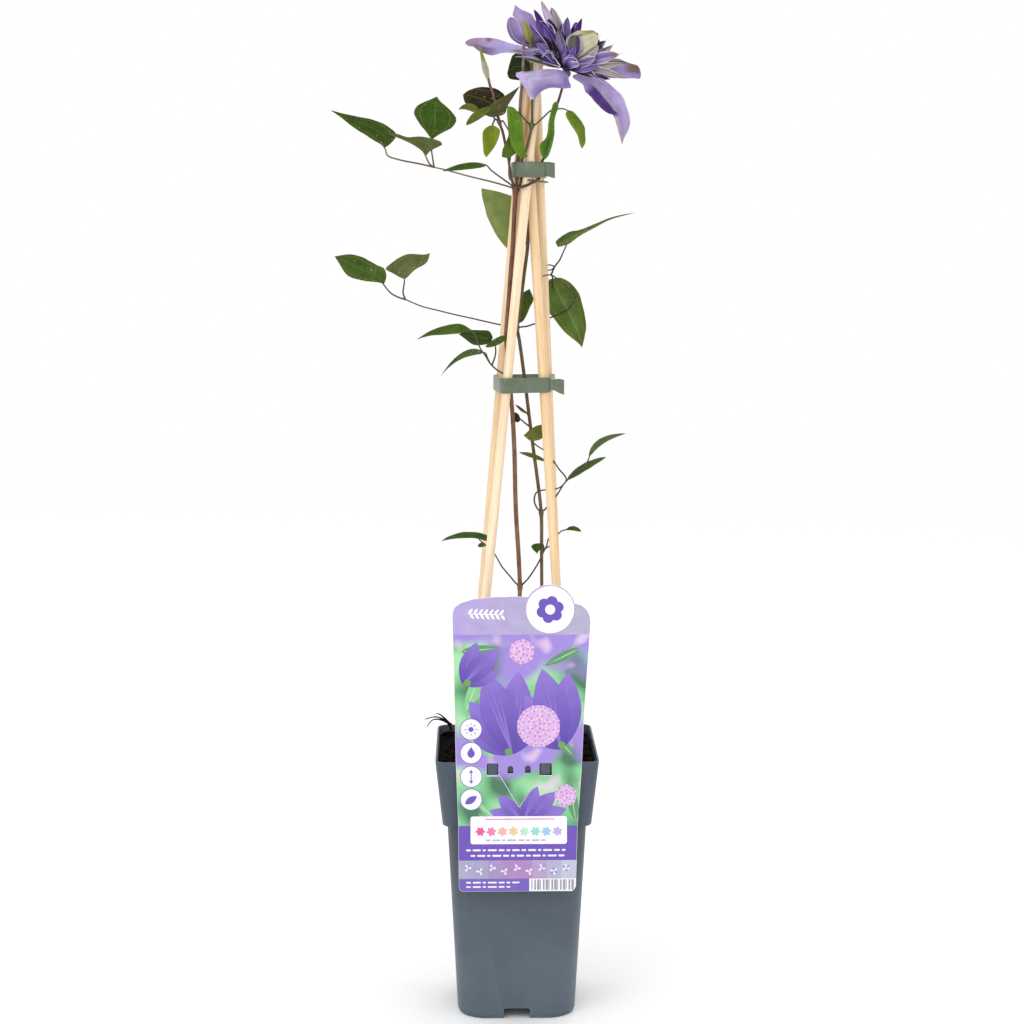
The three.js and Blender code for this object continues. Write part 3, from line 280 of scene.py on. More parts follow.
# %% [markdown]
# ## The pot's plastic
# The pot is polypropylene, injection moulded in a slate grey. Such a mould leaves a dull satin
# skin with a very fine grain, and the sharp edges rub paler in transport. Potting dust settles on
# it in soft patches. The upper body and the collar are painted darker than the lower body, as
# painted shade under and on the collar, which faces down. The grain of the mould is about 0.3 mm, drawn here
# at 0.7 mm so that it shows.

# %% Polypropylene, injection moulded
polypropylene, add = start_material("polypropylene, injection moulded", IOR=1.49, Roughness=0.42)
space = add("TexCoord").outputs["Object"]
patches = add("TexNoise", {"Vector": space, "Scale": per_mm(38), "Detail": 5.0, "Roughness": 0.6})
skin_colour = add("ValToRGB", {"Fac": patches}, stops=[(0.32, "#4f5a66"), (0.68, "#5a6571")])
specks = add("TexNoise", {"Vector": space, "Scale": per_mm(1.6), "Detail": 2.0})
dust = add("ValToRGB", {"Fac": specks}, stops=[(0.70, 0), (0.80, 0.5)])
dusty = add("MixRGB", {"Fac": dust, "Color1": skin_colour, "Color2": "#7d858d"})
edges = add("ValToRGB", {"Fac": add("NewGeometry").outputs["Pointiness"]}, stops=[(0.53, 0), (0.62, 0.45)])
rubbed = add("MixRGB", {"Fac": edges, "Color1": dusty, "Color2": "#6f7a86"})
up = add("SeparateXYZ", {"Vector": space}).outputs["Z"]
# painted shade: the tone darkens from the lower body up to under the collar, and the collar stays dark
shade_height = add("MapRange", {"Value": up, "From Min": 40 * MM, "From Max": 140 * MM})
painted_shade_tone = add("ValToRGB", {"Fac": shade_height}, stops=[
    (0.0, "#eaeff1"), (0.75, "#b6bcc0"), (0.905, "#b6bcc0"), (0.925, "#bcc5ce")])
add("MixRGB", {"Fac": 1.0, "Color1": rubbed, "Color2": painted_shade_tone}, blend_type="MULTIPLY", feeds="Base Color")
add("MapRange", {"Value": patches, "To Min": 0.34, "To Max": 0.52}, feeds="Roughness")
grain = add("TexNoise", {"Vector": space, "Scale": per_mm(0.7), "Detail": 3.0})
add("Bump", {"Height": grain, "Strength": 0.25, "Distance": 0.05 * MM}, feeds="Normal")

# %% [markdown]
# ## The pot
# The pot is one thin moulded shell: a square body with rounded corners that widens upwards, a
# wider collar, and a foot ring that is open in the middle of each side. Primitives would give
# none of that taper, so rings of a rounded square are joined into one skin, outside first and then
# back down the inside. The openings in the foot and the drain holes are cut with Boolean modifiers.

# %% Join rounded squares into the shell
POT_HEIGHT = 175
RIM_HALF = 52.3
COLLAR_FOOT_HALF = 47.9
BODY_TOP_HALF = 44.9
BODY_FOOT_HALF = 38.6
COLLAR_FOOT_Z = 131.4
LEDGE = 1.2
WALL = 1.3
LIP = 0.45
FOOT_RISE = 2
FLOOR_UNDERSIDE = 8
RIM_CORNER = 7
COLLAR_CORNER = 8
BODY_TOP_CORNER = 10
BODY_FOOT_CORNER = 19
FOOT_CORNER = 18
CORNER_STEPS = 12


def rounded_square(half, corner, z):
    """A square of twice the size half, whose corners are rounded to the radius corner."""
    ring = []
    for turn, (sx, sy) in enumerate([(1, 1), (-1, 1), (-1, -1), (1, -1)]):
        for k in range(CORNER_STEPS + 1):
            angle = math.pi / 2 * (turn + k / CORNER_STEPS)
            ring.append(Vector((sx * (half - corner) + corner * math.cos(angle),
                                sy * (half - corner) + corner * math.sin(angle), z)))
    return ring


def pot_rings():
    """From the middle of the underside out, up the outside, over the rim and down the inside."""
    foot_half = BODY_FOOT_HALF - 1
    wall_top = COLLAR_FOOT_Z + LEDGE
    squares = [
        (foot_half - 1.6, FOOT_CORNER - 1.6, FLOOR_UNDERSIDE),
        (foot_half - 1.4, FOOT_CORNER - 1.4, 0.2),
        (foot_half - 1.1, FOOT_CORNER - 1, 0),
        (foot_half - 0.3, FOOT_CORNER - 0.2, 0),
        (foot_half, FOOT_CORNER, 0.3),
        (foot_half, FOOT_CORNER, FOOT_RISE - 0.1),
        (BODY_FOOT_HALF - 0.3, BODY_FOOT_CORNER - 0.3, FOOT_RISE),
        (BODY_FOOT_HALF, BODY_FOOT_CORNER, FOOT_RISE + 0.3),
        (BODY_TOP_HALF, BODY_TOP_CORNER, COLLAR_FOOT_Z - 0.1),
        (COLLAR_FOOT_HALF - 0.4, COLLAR_CORNER - 0.4, COLLAR_FOOT_Z),
        (COLLAR_FOOT_HALF, COLLAR_CORNER, COLLAR_FOOT_Z + 0.4),
        (RIM_HALF - 0.1, RIM_CORNER, POT_HEIGHT - 2.2),
        (RIM_HALF, RIM_CORNER, POT_HEIGHT - LIP),
        (RIM_HALF - LIP, RIM_CORNER - LIP, POT_HEIGHT),
        (RIM_HALF - WALL + LIP, RIM_CORNER - WALL + LIP, POT_HEIGHT),
        (RIM_HALF - WALL, RIM_CORNER - WALL, POT_HEIGHT - LIP),
        (COLLAR_FOOT_HALF - WALL, COLLAR_CORNER - WALL, wall_top),
        (BODY_TOP_HALF - WALL, BODY_TOP_CORNER - WALL, wall_top - 0.2),
        (BODY_FOOT_HALF - WALL, BODY_FOOT_CORNER - WALL, FLOOR_UNDERSIDE + WALL),
    ]
    middles = [[Vector((0, 0, z))] for z in (FLOOR_UNDERSIDE, FLOOR_UNDERSIDE + WALL)]
    return [middles[0], *[rounded_square(*square) for square in squares], middles[1]]


def block(low, high, round_off=0.35):
    """A block with bevelled edges."""
    shell = bmesh.new()
    bmesh.ops.create_cube(shell, size=1)
    for vertex in shell.verts:
        vertex.co = Vector([low[i] if vertex.co[i] < 0 else high[i] for i in range(3)])
    bmesh.ops.bevel(shell, geom=shell.edges[:], offset=round_off, segments=2, profile=0.5, affect="EDGES")
    points = [vertex.co.copy() for vertex in shell.verts]
    shell.verts.index_update()
    faces = [[vertex.index for vertex in face.verts] for face in shell.faces]
    shell.free()
    return points, faces


def cut_away(piece, points, faces):
    """Cuts one closed shape out of a piece and keeps the result as the piece's own mesh."""
    mesh = bpy.data.meshes.new("cutter")
    mesh.from_pydata([point * MM for point in points], [], faces)
    cutter = bpy.data.objects.new("cutter", mesh)
    bpy.context.scene.collection.objects.link(cutter)
    cut = piece.modifiers.new("cut", "BOOLEAN")
    cut.object = cutter
    cut.operation = "DIFFERENCE"
    cut.solver = "EXACT"
    bpy.context.view_layer.update()
    result = piece.evaluated_get(bpy.context.evaluated_depsgraph_get())
    piece.data = bpy.data.meshes.new_from_object(result)
    piece.modifiers.clear()
    bpy.data.objects.remove(cutter)


NOTCH_HALF = 8.5
NOTCH_TOP = 7.1
DRAIN_OFFSET = 20
DRAIN_RADIUS = 4.5
DRAIN_SIDES = 24
BEYOND = 60

shell_skin = Skin()
shell_skin.add(*loft(pot_rings()))
pot = make_piece("pot", shell_skin, [polypropylene], smooth_below=35)
cut_away(pot, *block((-NOTCH_HALF, -BEYOND, -1), (NOTCH_HALF, BEYOND, NOTCH_TOP), 1.2))
cut_away(pot, *block((-BEYOND, -NOTCH_HALF, -1), (BEYOND, NOTCH_HALF, NOTCH_TOP), 1.2))
for x in (-DRAIN_OFFSET, DRAIN_OFFSET):
    for y in (-DRAIN_OFFSET, DRAIN_OFFSET):
        heights = (FLOOR_UNDERSIDE - 1, FLOOR_UNDERSIDE + WALL + 1.7)
        cut_away(pot, *loft([circle(Vector((x, y, z)), DRAIN_RADIUS, DRAIN_SIDES) for z in heights]))
print("pot faces:", len(pot.data.polygons))

# %% [markdown]
# ## The pad and the lugs of the pot
# A small pad stands under the middle of the floor, and two lugs on the front of the collar carry
# the printed plate. They are blocks with softened edges, joined to the shell as one mesh, because
# the pot is moulded in one piece.

# %% Join the pad and the lugs to the pot
LABEL_BACK_Y = -53
LUG_BOTTOM = 167.4
LUG_TOP = 174.4
LUG_SPANS = [(-18.8, -12.8), (14.6, 20.6)]
PAD_LOW = (-8, -6, 0)
PAD_HIGH = (3, 6, FLOOR_UNDERSIDE + 0.4)


def join_into(piece, points, faces):
    """Adds a closed shape to a piece's mesh as part of the same moulding."""
    shape = bpy.data.meshes.new("shape")
    shape.from_pydata([point * MM for point in points], [], faces)
    whole = bmesh.new()
    whole.from_mesh(piece.data)
    whole.from_mesh(shape)
    bmesh.ops.recalc_face_normals(whole, faces=whole.faces)
    whole.to_mesh(piece.data)
    whole.free()
    piece.data.shade_smooth()
    piece.data.set_sharp_from_angle(angle=math.radians(35))


join_into(pot, *block(PAD_LOW, PAD_HIGH))
for left, right in LUG_SPANS:
    join_into(pot, *block((left, LABEL_BACK_Y - 0.5, LUG_BOTTOM), (right, -RIM_HALF + 1.2, LUG_TOP)))
print("pot faces with pad and lugs:", len(pot.data.polygons))

# %% [markdown]
# ## Stake wood
# The canes are turned softwood, planed round and left bare. Its grain runs along the cane in
# lines a few tenths of a millimetre wide, with slow bands of warmer and paler wood. The colour is
# read at the point's place on the straightened cane, so the grain leans with it. Bare wood has no
# gloss, only the faint sheen of cut fibres.

# %% Softwood, turned and left bare
softwood, add = start_material("softwood, turned and bare", IOR=1.5, Roughness=0.62)
place = add("Attribute", attribute_name="place").outputs["Vector"]
shade = add("Attribute", attribute_name="tint")
along_grain = add("Mapping", {"Vector": place, "Scale": (1.0, 1.0, 0.03)})
fibres = add("TexNoise", {"Vector": along_grain, "Scale": per_mm(0.55), "Detail": 4.0})
bands = add("TexNoise", {"Vector": along_grain, "Scale": per_mm(3.4), "Detail": 2.0})
fibre_tone = add("ValToRGB", {"Fac": fibres}, stops=[(0.30, "#d0a878"), (0.62, "#fbe6c6")])
band_tone = add("ValToRGB", {"Fac": bands}, stops=[(0.35, "#e2bf94"), (0.65, "#fdecd2")])
wood_mix = add("MixRGB", {"Fac": 0.45, "Color1": band_tone, "Color2": fibre_tone})
add("MixRGB", {"Fac": 0.55, "Color1": wood_mix, "Color2": shade}, blend_type="MULTIPLY", feeds="Base Color")
add("Bump", {"Height": fibres, "Strength": 0.5, "Distance": 0.08 * MM}, feeds="Normal")

# %% [markdown]
# ## The four canes
# Each cane is a straight rod from its foot in the soil to its top, leaning in towards the tie.
# A cylinder would be too perfect: the radius wanders by a few hundredths, and the sawn top has a
# slightly broken edge.

# %% Sweep the four canes
STAKE_RADIUS = 3
STAKE_FOOT_Z = 118
BROKEN_EDGE = 0.35
STAKE_TONES = ["#ffffff", "#f2dfbc", "#efe2cc", "#f6ecdc"]
SOIL_PLANE = 168
TIE_LEVEL = 548
STAKES = {
    "front_left": ((-30.8, -33), (7.7, -6.5), 614),
    "front_right": ((32.9, -33), (9, 2.5), 606.5),
    "back_left": ((-30.2, 33), (1.6, 0), 606.5),
    "back_right": ((32.2, 33), (15.3, 8.5), 619),
}


def on_stake(place_name, z):
    soil, tie, _ = STAKES[place_name]
    share = (z - SOIL_PLANE) / (TIE_LEVEL - SOIL_PLANE)
    return Vector((soil[0] + (tie[0] - soil[0]) * share, soil[1] + (tie[1] - soil[1]) * share, z))


def cane_radius(share, point):
    wander = 0.05 * noise.noise(point * 0.03)
    at_end = share > 0.9995 or share < 0.0005
    return STAKE_RADIUS - 0.04 + wander - (BROKEN_EDGE if at_end else 0.0)


for (place_name, (_, _, top)), tone in zip(STAKES.items(), STAKE_TONES):
    levels = [STAKE_FOOT_Z, STAKE_FOOT_Z + BROKEN_EDGE]
    levels += [STAKE_FOOT_Z + (top - STAKE_FOOT_Z) * k / 40 for k in range(1, 40)]
    levels += [top - BROKEN_EDGE, top]
    cane = Skin()
    cane.add(*tube([on_stake(place_name, z) for z in levels], cane_radius, 24), tint=tone)
    make_piece("stake_" + place_name, cane, [softwood], smooth_below=40)
print("canes:", len(STAKES))

# %% [markdown]
# ## The straps' plastic
# The two straps are soft PVC tape, calendered into a thin grey-green band. Rollers give it a
# smooth, slightly waxy gloss with faint lines along its length. Near the root of each tail the
# band is painted darker, as painted shade in its slot and fold. The roller lines are about 0.4 mm apart.

# %% Soft PVC, calendered
soft_pvc, add = start_material("soft PVC, calendered", IOR=1.53, Roughness=0.36)
space = add("TexCoord").outputs["Object"]
clouds = add("TexNoise", {"Vector": space, "Scale": per_mm(6), "Detail": 3.0})
tape_colour = add("ValToRGB", {"Fac": clouds}, stops=[(0.35, "#56634f"), (0.65, "#626f5a")])
# the tint attribute carries the painted shade on the tails and darkens the tape there
tail_shade = add("Attribute", attribute_name="tint")
add("MixRGB", {"Fac": 1.0, "Color1": tape_colour, "Color2": tail_shade}, blend_type="MULTIPLY",
    feeds="Base Color")
flattened = add("Mapping", {"Vector": space, "Scale": (0.05, 0.05, 1.0)})
rolled = add("TexNoise", {"Vector": flattened, "Scale": per_mm(0.4), "Detail": 2.0})
add("Bump", {"Height": rolled, "Strength": 0.35, "Distance": 0.05 * MM}, feeds="Normal")

# %% [markdown]
# ## The two straps
# Each strap is drawn tight round a bundle of rods and ends in a short loose tail on the right. The
# band follows the tight line round the rods: straight from rod to rod, curved on each rod. A small
# section with rounded edges is swept along that closed line, which a plain extrusion lacks. The
# middle strap's tail is pinched beside its rod, flares towards its end and droops.

# %% Draw the straps round their rods
STRAP_HEIGHT = 9.6
STRAP_THICKNESS = 0.9
STRAP_CLEARANCE = 0.75
MIDDLE_STRAP_LEVEL = 412
CORNER_POINTS = 9


def tangent_turn(a, b):
    lean = math.asin((a[2] - b[2]) / math.hypot(b[0] - a[0], b[1] - a[1]))
    return math.atan2(b[1] - a[1], b[0] - a[0]) - math.pi / 2 + lean


def around_rods(rods):
    """The closed tight line round the rods, with the direction straight out at each point."""
    line = []
    for i, (x, y, radius) in enumerate(rods):
        start = tangent_turn(rods[i - 1], rods[i])
        turn = (tangent_turn(rods[i], rods[(i + 1) % len(rods)]) - start) % math.tau
        for k in range(CORNER_POINTS):
            angle = start + turn * k / (CORNER_POINTS - 1)
            out = Vector((math.cos(angle), math.sin(angle), 0))
            line.append((Vector((x, y, 0)) + out * (radius + STRAP_CLEARANCE), out))
    return line


def band_section(spot, out, level, sag, waist=0.0):
    """A flat section with rounded edges, standing on the line at one spot."""
    half = STRAP_HEIGHT / 2 * (1 - waist)
    profile = [(0, -half + 0.25), (0.2, -half), (0.7, -half), (STRAP_THICKNESS, -half + 0.25),
               (STRAP_THICKNESS, half - 0.25), (0.7, half), (0.2, half), (0, half - 0.25)]
    return [spot + out * reach + Vector((0, 0, level + sag + height)) for reach, height in profile]


def strap(name, rods, tail_from, tail_to, tail_length, level, waist):
    """A band round the rods. Its tail leaves the rod tail_to and is pinched by the share waist."""
    skin = Skin()
    sections = [band_section(spot, out, level, 0.12 * noise.noise(spot * 0.2))
                for spot, out in around_rods(rods)]
    points = [point for section in sections for point in section]
    count = len(sections[0])
    faces = []
    for i in range(len(sections)):
        here, there = i * count, (i + 1) % len(sections) * count
        for k in range(count):
            after = (k + 1) % count
            faces.append([here + k, here + after, there + after, there + k])
    skin.add(points, faces)
    angle = tangent_turn(rods[tail_from], rods[tail_to])
    out = Vector((math.cos(angle), math.sin(angle), 0))
    along = Vector((-out.y, out.x, 0))
    start = Vector((rods[tail_to][0], rods[tail_to][1], 0)) + out * (rods[tail_to][2] + STRAP_CLEARANCE)
    steps = 10
    tail = []
    tones = []
    for k in range(steps + 1):
        share = k / steps
        spot = start + along * (tail_length * share) + out * (tail_length * 0.1 * share ** 2 + 0.06)
        pinch = waist * math.exp(-((share - 0.35) / 0.3) ** 2)
        sag = 0.35 * math.sin(share * 4) - share * share * waist * 4
        section = band_section(spot, out, level, sag, pinch)
        tail.append(section)
        # painted shade: the tail is darker just beyond its rod, where its slot and fold lie in shade
        tones += ["#b9c2b4" if 0.1 < share < 0.3 else "#ffffff"] * len(section)
    skin.add(*loft(tail), tint=tones)
    return make_piece(name, skin, [soft_pvc], smooth_below=40)


def rod_at(place_name, z):
    spot = on_stake(place_name, z)
    return (spot.x, spot.y, STAKE_RADIUS)


middle_rods = [rod_at(place_name, MIDDLE_STRAP_LEVEL)
               for place_name in ("front_left", "front_right", "back_right", "back_left")]
strap("strap_middle", middle_rods, 0, 1, tail_length=12, level=MIDDLE_STRAP_LEVEL, waist=0.32)
CUT_SHOOT_AT_TIE = (0.6, -4.5, 1)
FLOWER_STALK_AT_TIE = (15.5, -3.6, 1.3)
top_rods = [CUT_SHOOT_AT_TIE, rod_at("front_left", TIE_LEVEL), FLOWER_STALK_AT_TIE,
            rod_at("back_right", TIE_LEVEL), rod_at("back_left", TIE_LEVEL)]
strap("strap_top", top_rods, 1, 2, tail_length=8.5, level=TIE_LEVEL, waist=0.06)
print("straps at", MIDDLE_STRAP_LEVEL, "and", TIE_LEVEL, "mm")

# %% [markdown]
# ## The wire tie
# Just under the top strap a thin garden wire goes once round the bundle, and its ends stay open
# in front. It is steel wire in an extruded green PVC sleeve: glossy, even in colour, with small
# kinks where it was bent by hand.

# %% Extruded PVC sleeve, and the wire in it
sleeve, add = start_material("PVC sleeve, extruded", IOR=1.53, Roughness=0.3)
place = add("Attribute", attribute_name="place").outputs["Vector"]
clouds = add("TexNoise", {"Vector": place, "Scale": per_mm(2.5), "Detail": 3.0})
add("ValToRGB", {"Fac": clouds}, stops=[(0.3, "#2f4f34"), (0.7, "#456b45")], feeds="Base Color")
add("Bump", {"Height": clouds, "Strength": 0.3, "Distance": 0.1 * MM}, feeds="Normal")

WIRE_RADIUS = 0.55
WIRE_LINE = [
    (7.2, -11, 541.4), (9.6, -9.9, 541.2), (10.6, -8.9, 541.1), (12.4, -5.6, 540.9), (15, -2.8, 540.7),
    (19.6, 1, 540.4), (20.2, 8.5, 540.4), (18.4, 12.8, 540.6), (14.3, 13.7, 540.8), (7.5, 10, 541),
    (0.5, 5.8, 541.2), (-3.4, 2.2, 541.8), (-4.4, -0.5, 545), (-4.3, -1.5, 551), (-3.4, -3, 556.8)]
wire = Skin()
wire.add(*tube(smooth_line([Vector(point) for point in WIRE_LINE], 5), lambda share, point: WIRE_RADIUS, 12))
make_piece("wire_tie", wire, [sleeve])
print("wire points:", len(wire.points))

# %% [markdown]
# ## The substrate
# The pot is filled to just under its rim with coir and bark: dark brown crumbs, flat chips and
# loose fibres. A bump map alone looks painted at the rim, where the crumbs are seen from the side.
# So the top is a skin of noise-shaped lumps, with chips and fibres strewn on it as real shapes.
# A seeded generator places them, so each run is the same.

# %% Coir and bark, loose
coir, add = start_material("coir and bark, loose", IOR=1.45, Roughness=0.92, Specular_IOR_Level=0.06)
space = add("TexCoord").outputs["Object"]
crumbs = add("TexNoise", {"Vector": space, "Scale": per_mm(1.8), "Detail": 6.0, "Roughness": 0.7})
crumb_colour = add("ValToRGB", {"Fac": crumbs}, stops=[
    (0.30, "#0c0705"), (0.55, "#2b1b12"), (0.75, "#573a27")])
shade = add("Attribute", attribute_name="tint")
add("MixRGB", {"Fac": 1.0, "Color1": crumb_colour, "Color2": shade}, blend_type="MULTIPLY",
    feeds="Base Color")
add("Bump", {"Height": crumbs, "Strength": 0.9, "Distance": 0.6 * MM}, feeds="Normal")

# %% Shape the lumps, chips and fibres
SOIL_LEVEL = 168.5
SOIL_FLOOR = FLOOR_UNDERSIDE + WALL + 0.3
WALL_GAP = 0.4
BARK_CHIPS = 330
LOOSE_FIBRES = 240
STREWN_HALF = 49
BARK_TINTS = ["#8a7a70", "#5c4c40", "#4a3c34", "#a07c5c"]
FIBRE_TINTS = ["#d8a070", "#a87850", "#ffc890"]
chance = random.Random(11)


def soil_half(z):
    """Half the width of the space inside the pot at height z."""
    if z > COLLAR_FOOT_Z + LEDGE:
        share = (z - COLLAR_FOOT_Z) / (POT_HEIGHT - COLLAR_FOOT_Z)
        return COLLAR_FOOT_HALF + (RIM_HALF - COLLAR_FOOT_HALF) * share - WALL - WALL_GAP
    return BODY_FOOT_HALF + (BODY_TOP_HALF - BODY_FOOT_HALF) * z / COLLAR_FOOT_Z - WALL - WALL_GAP


def lump_height(x, y):
    """How far the surface stands above the soil level, higher in the corners than in the middle."""
    broad = noise.noise(Vector((x, y, 3)) * 0.045) * 1.6
    fine = noise.noise(Vector((x, y, 9)) * 0.25) * 1.3 + noise.noise(Vector((x, y, 5)) * 0.7) * 0.6
    heaped = 2.4 * (max(abs(x), abs(y)) / 50) ** 4
    return broad + fine + heaped


def soil_ring(half, corner, z):
    """A rounded square with four times the points, so that lumps can show between its corners."""
    ring = rounded_square(half, corner, z)
    return [a.lerp(b, share) for a, b in zip(ring, ring[1:] + ring[:1]) for share in (0, 0.25, 0.5, 0.75)]


def soil_surface():
    rings = [
        [Vector((0, 0, SOIL_FLOOR))],
        soil_ring(soil_half(SOIL_FLOOR), 16, SOIL_FLOOR),
        soil_ring(soil_half(COLLAR_FOOT_Z), 9, COLLAR_FOOT_Z + LEDGE),
        soil_ring(soil_half(COLLAR_FOOT_Z + 3), 7.5, COLLAR_FOOT_Z + LEDGE + 0.5),
        soil_ring(soil_half(SOIL_LEVEL - 4), 7, SOIL_LEVEL - 4),
    ]
    across = soil_half(SOIL_LEVEL)
    steps = 26
    for k in range(steps):
        half = across * (1 - k / steps)
        ring = soil_ring(half, 6.5 * half / across, SOIL_LEVEL)
        rings.append([point + Vector((0, 0, lump_height(point.x, point.y) - (0.8 if k == 0 else 0)))
                      for point in ring])
    rings.append([Vector((0, 0, SOIL_LEVEL + lump_height(0, 0)))])
    return rings


def chip(centre, length, width, thickness, turn, tilt):
    """A flat piece of bark with seven ragged corners."""
    spin = Matrix.Rotation(turn, 3, "Z") @ Matrix.Rotation(tilt, 3, "X")
    corners = 7
    rims = []
    for height, spread in ((-0.5, 0.8), (0.1, 1.0), (0.5, 0.7)):
        rims.append([centre + spin @ Vector((
            length / 2 * spread * math.cos(math.tau * k / corners) * chance.uniform(0.7, 1.1),
            width / 2 * spread * math.sin(math.tau * k / corners) * chance.uniform(0.7, 1.1),
            thickness * height)) for k in range(corners)])
    return loft(rims)


def fibre(start, heading, rise, length, radius):
    """A loose coir fibre that wanders as it goes."""
    line = [start.copy()]
    for _ in range(6):
        heading += chance.uniform(-0.5, 0.5)
        rise += chance.uniform(-0.25, 0.2)
        line.append(line[-1] + Vector((math.cos(heading), math.sin(heading), rise)) * (length / 6))
    return tube(smooth_line(line, 2), lambda share, point: radius * (1 - 0.6 * share), 5)


def keep_in_pot(x, y, margin):
    limit = soil_half(SOIL_LEVEL) - margin
    return max(-limit, min(limit, x)), max(-limit, min(limit, y))


soil = Skin()
soil.add(*loft(soil_surface()), tint="#4a4038")
for number in range(BARK_CHIPS):
    x, y = chance.uniform(-STREWN_HALF, STREWN_HALF), chance.uniform(-STREWN_HALF, STREWN_HALF)
    length = chance.uniform(2.5, 8)
    x, y = keep_in_pot(x, y, length / 2 + 0.6)
    height = SOIL_LEVEL + lump_height(x, y) + chance.uniform(-0.3, 1.0)
    width, thickness = length * chance.uniform(0.3, 0.7), chance.uniform(0.7, 1.8)
    turn, tilt = chance.uniform(0, math.pi), chance.uniform(-0.6, 0.6)
    bark_chip = chip(Vector((x, y, height)), length, width, thickness, turn, tilt)
    soil.add(*bark_chip, tint=chance.choice(BARK_TINTS))
for number in range(LOOSE_FIBRES):
    x, y = chance.uniform(-STREWN_HALF, STREWN_HALF), chance.uniform(-STREWN_HALF, STREWN_HALF)
    x, y = keep_in_pot(x, y, 7)
    start = Vector((x, y, SOIL_LEVEL + lump_height(x, y) + 0.4))
    length = chance.uniform(6, 14)
    heading = math.atan2(-y, -x) + chance.uniform(-1.2, 1.2)
    loose_fibre = fibre(start, heading, chance.uniform(0, 0.15), length, chance.uniform(0.12, 0.3))
    soil.add(*loose_fibre, tint=chance.choice(FIBRE_TINTS))
make_piece("substrate", soil, [coir], smooth_below=30)
print("substrate faces:", len(soil.faces))

# %% [markdown]
# ## The tuft of fibre over the rim
# At the back left some coir fibres have worked out of the substrate and lie over the rim. They
# are swept as thin tapering tubes from one knot, with finer hairs beside the main strands.

# %% Sweep the tuft
TUFT_STRANDS = [
    [(-43, 187.5, 38), (-48, 191, 36), (-53, 192.5, 33), (-59.5, 191, 29)],
    [(-43, 187.5, 38), (-49, 190.4, 35), (-54.5, 190.6, 31), (-58.5, 186.2, 27)],
    [(-43, 187.5, 38), (-47, 191.8, 37), (-50, 194.2, 35), (-52.5, 195, 33)],
    [(-43, 187.5, 38), (-42.7, 183, 38), (-42.5, 178.3, 38)],
]
HAIR_TINTS = ["#ffc890", "#e8b080", "#ffdab0", "#d8a070", "#fff0d8"]
MAIN_RADIUS = 0.75
HAIR_RADIUS = 0.22
tuft = Skin()
for strand in TUFT_STRANDS:
    for hair, tint in enumerate(HAIR_TINTS):
        spread = 0.9 * hair / 4
        line = [sighted(*point) + Vector([chance.uniform(-spread, spread) * k / 2 for _ in range(3)])
                for k, point in enumerate(strand)]
        radius = MAIN_RADIUS if hair == 0 else HAIR_RADIUS
        strand_tube = tube(smooth_line(line, 5), lambda share, point: radius * (1.05 - 0.75 * share), 7)
        tuft.add(*strand_tube, tint=tint)
tuft.add(*ball(sighted(-43.5, 187.4, 38), 1.7, 0.8), tint="#e8b080")
make_piece("bark_fibre_tuft", tuft, [coir])
print("tuft faces:", len(tuft.faces))

# %% [markdown]
# ## The printed plate
# The plate is thin card-like polypropylene, printed in colour and laid under a clear gloss film.
# The film gives one even shine over all the inks, with very fine scratches. Ink shows through it
# with soft edges. Each printed shape is a flat shape of its own, a few hundredths of a millimetre
# in front of the plate, and its tint is its ink. So there is one ink material and no picture.

# %% Offset print under a gloss film
film_print, add = start_material("offset print under gloss film", IOR=1.5, Roughness=0.22)
ink = add("Attribute", attribute_name="tint")
space = add("TexCoord").outputs["Object"]
mottle = add("TexNoise", {"Vector": space, "Scale": per_mm(9), "Detail": 4.0})
mottle_tone = add("ValToRGB", {"Fac": mottle}, stops=[(0.3, "#efeff1"), (0.7, 1)])
add("MixRGB", {"Fac": 1.0, "Color1": ink, "Color2": mottle_tone}, blend_type="MULTIPLY", feeds="Base Color")
scratch_space = add("Mapping", {"Vector": space, "Rotation": (0, 0.5, 0), "Scale": (1.0, 1.0, 0.08)})
scratches = add("TexNoise", {"Vector": scratch_space, "Scale": per_mm(0.8)})
add("MapRange", {"Value": scratches, "To Min": 0.15, "To Max": 0.32}, feeds="Roughness")
add("Bump", {"Height": mottle, "Strength": 0.15, "Distance": 0.2 * MM}, feeds="Normal")

# %% [markdown]
# ## The picture's ground
# The printed picture shows a garden out of focus: soft patches of fresh green, dark green and
# violet. Three noises 15 to 40 mm wide give such patches without any drawing.

# %% A soft garden ground, printed
garden_print, add = start_material("offset print of a soft garden ground", IOR=1.5, Roughness=0.22)
space = add("TexCoord").outputs["Object"]
leaves_blur = add("TexNoise", {"Vector": space, "Scale": per_mm(24), "Detail": 1.0})
green = add("ValToRGB", {"Fac": leaves_blur}, stops=[(0.34, "#3f7355"), (0.48, "#77bf86"), (0.62, "#a5d9a6")])
flower_blur = add("TexNoise", {"Vector": space, "Scale": per_mm(40), "Detail": 1.0, "W": 4.0},
                  noise_dimensions="4D")
blur_mask = add("ValToRGB", {"Fac": flower_blur}, stops=[(0.48, 0), (0.58, 1)])
garden = add("MixRGB", {"Fac": blur_mask, "Color1": green, "Color2": "#9b84d2"})
pink_blur = add("TexNoise", {"Vector": space, "Scale": per_mm(15), "Detail": 1.0, "W": 9.0},
                noise_dimensions="4D")
pink_mask = add("ValToRGB", {"Fac": pink_blur}, stops=[(0.58, 0), (0.7, 0.8)])
add("MixRGB", {"Fac": pink_mask, "Color1": garden, "Color2": "#dfc2e2"}, feeds="Base Color")
add("Bump", {"Height": leaves_blur, "Strength": 0.1, "Distance": 0.2 * MM}, feeds="Normal")

# %% [markdown]
# ## Flat shapes for the plate and its print
# A filled 2D curve is Blender's own way to a flat shape with holes. Its points are laid out as
# they are seen from the eye, so each is moved along its line of sight onto the plate.

# %% Fill outlines on the plate
LABEL_THICKNESS = 0.7
LABEL_FRONT_Y = LABEL_BACK_Y - LABEL_THICKNESS
INK_STEP = 0.03


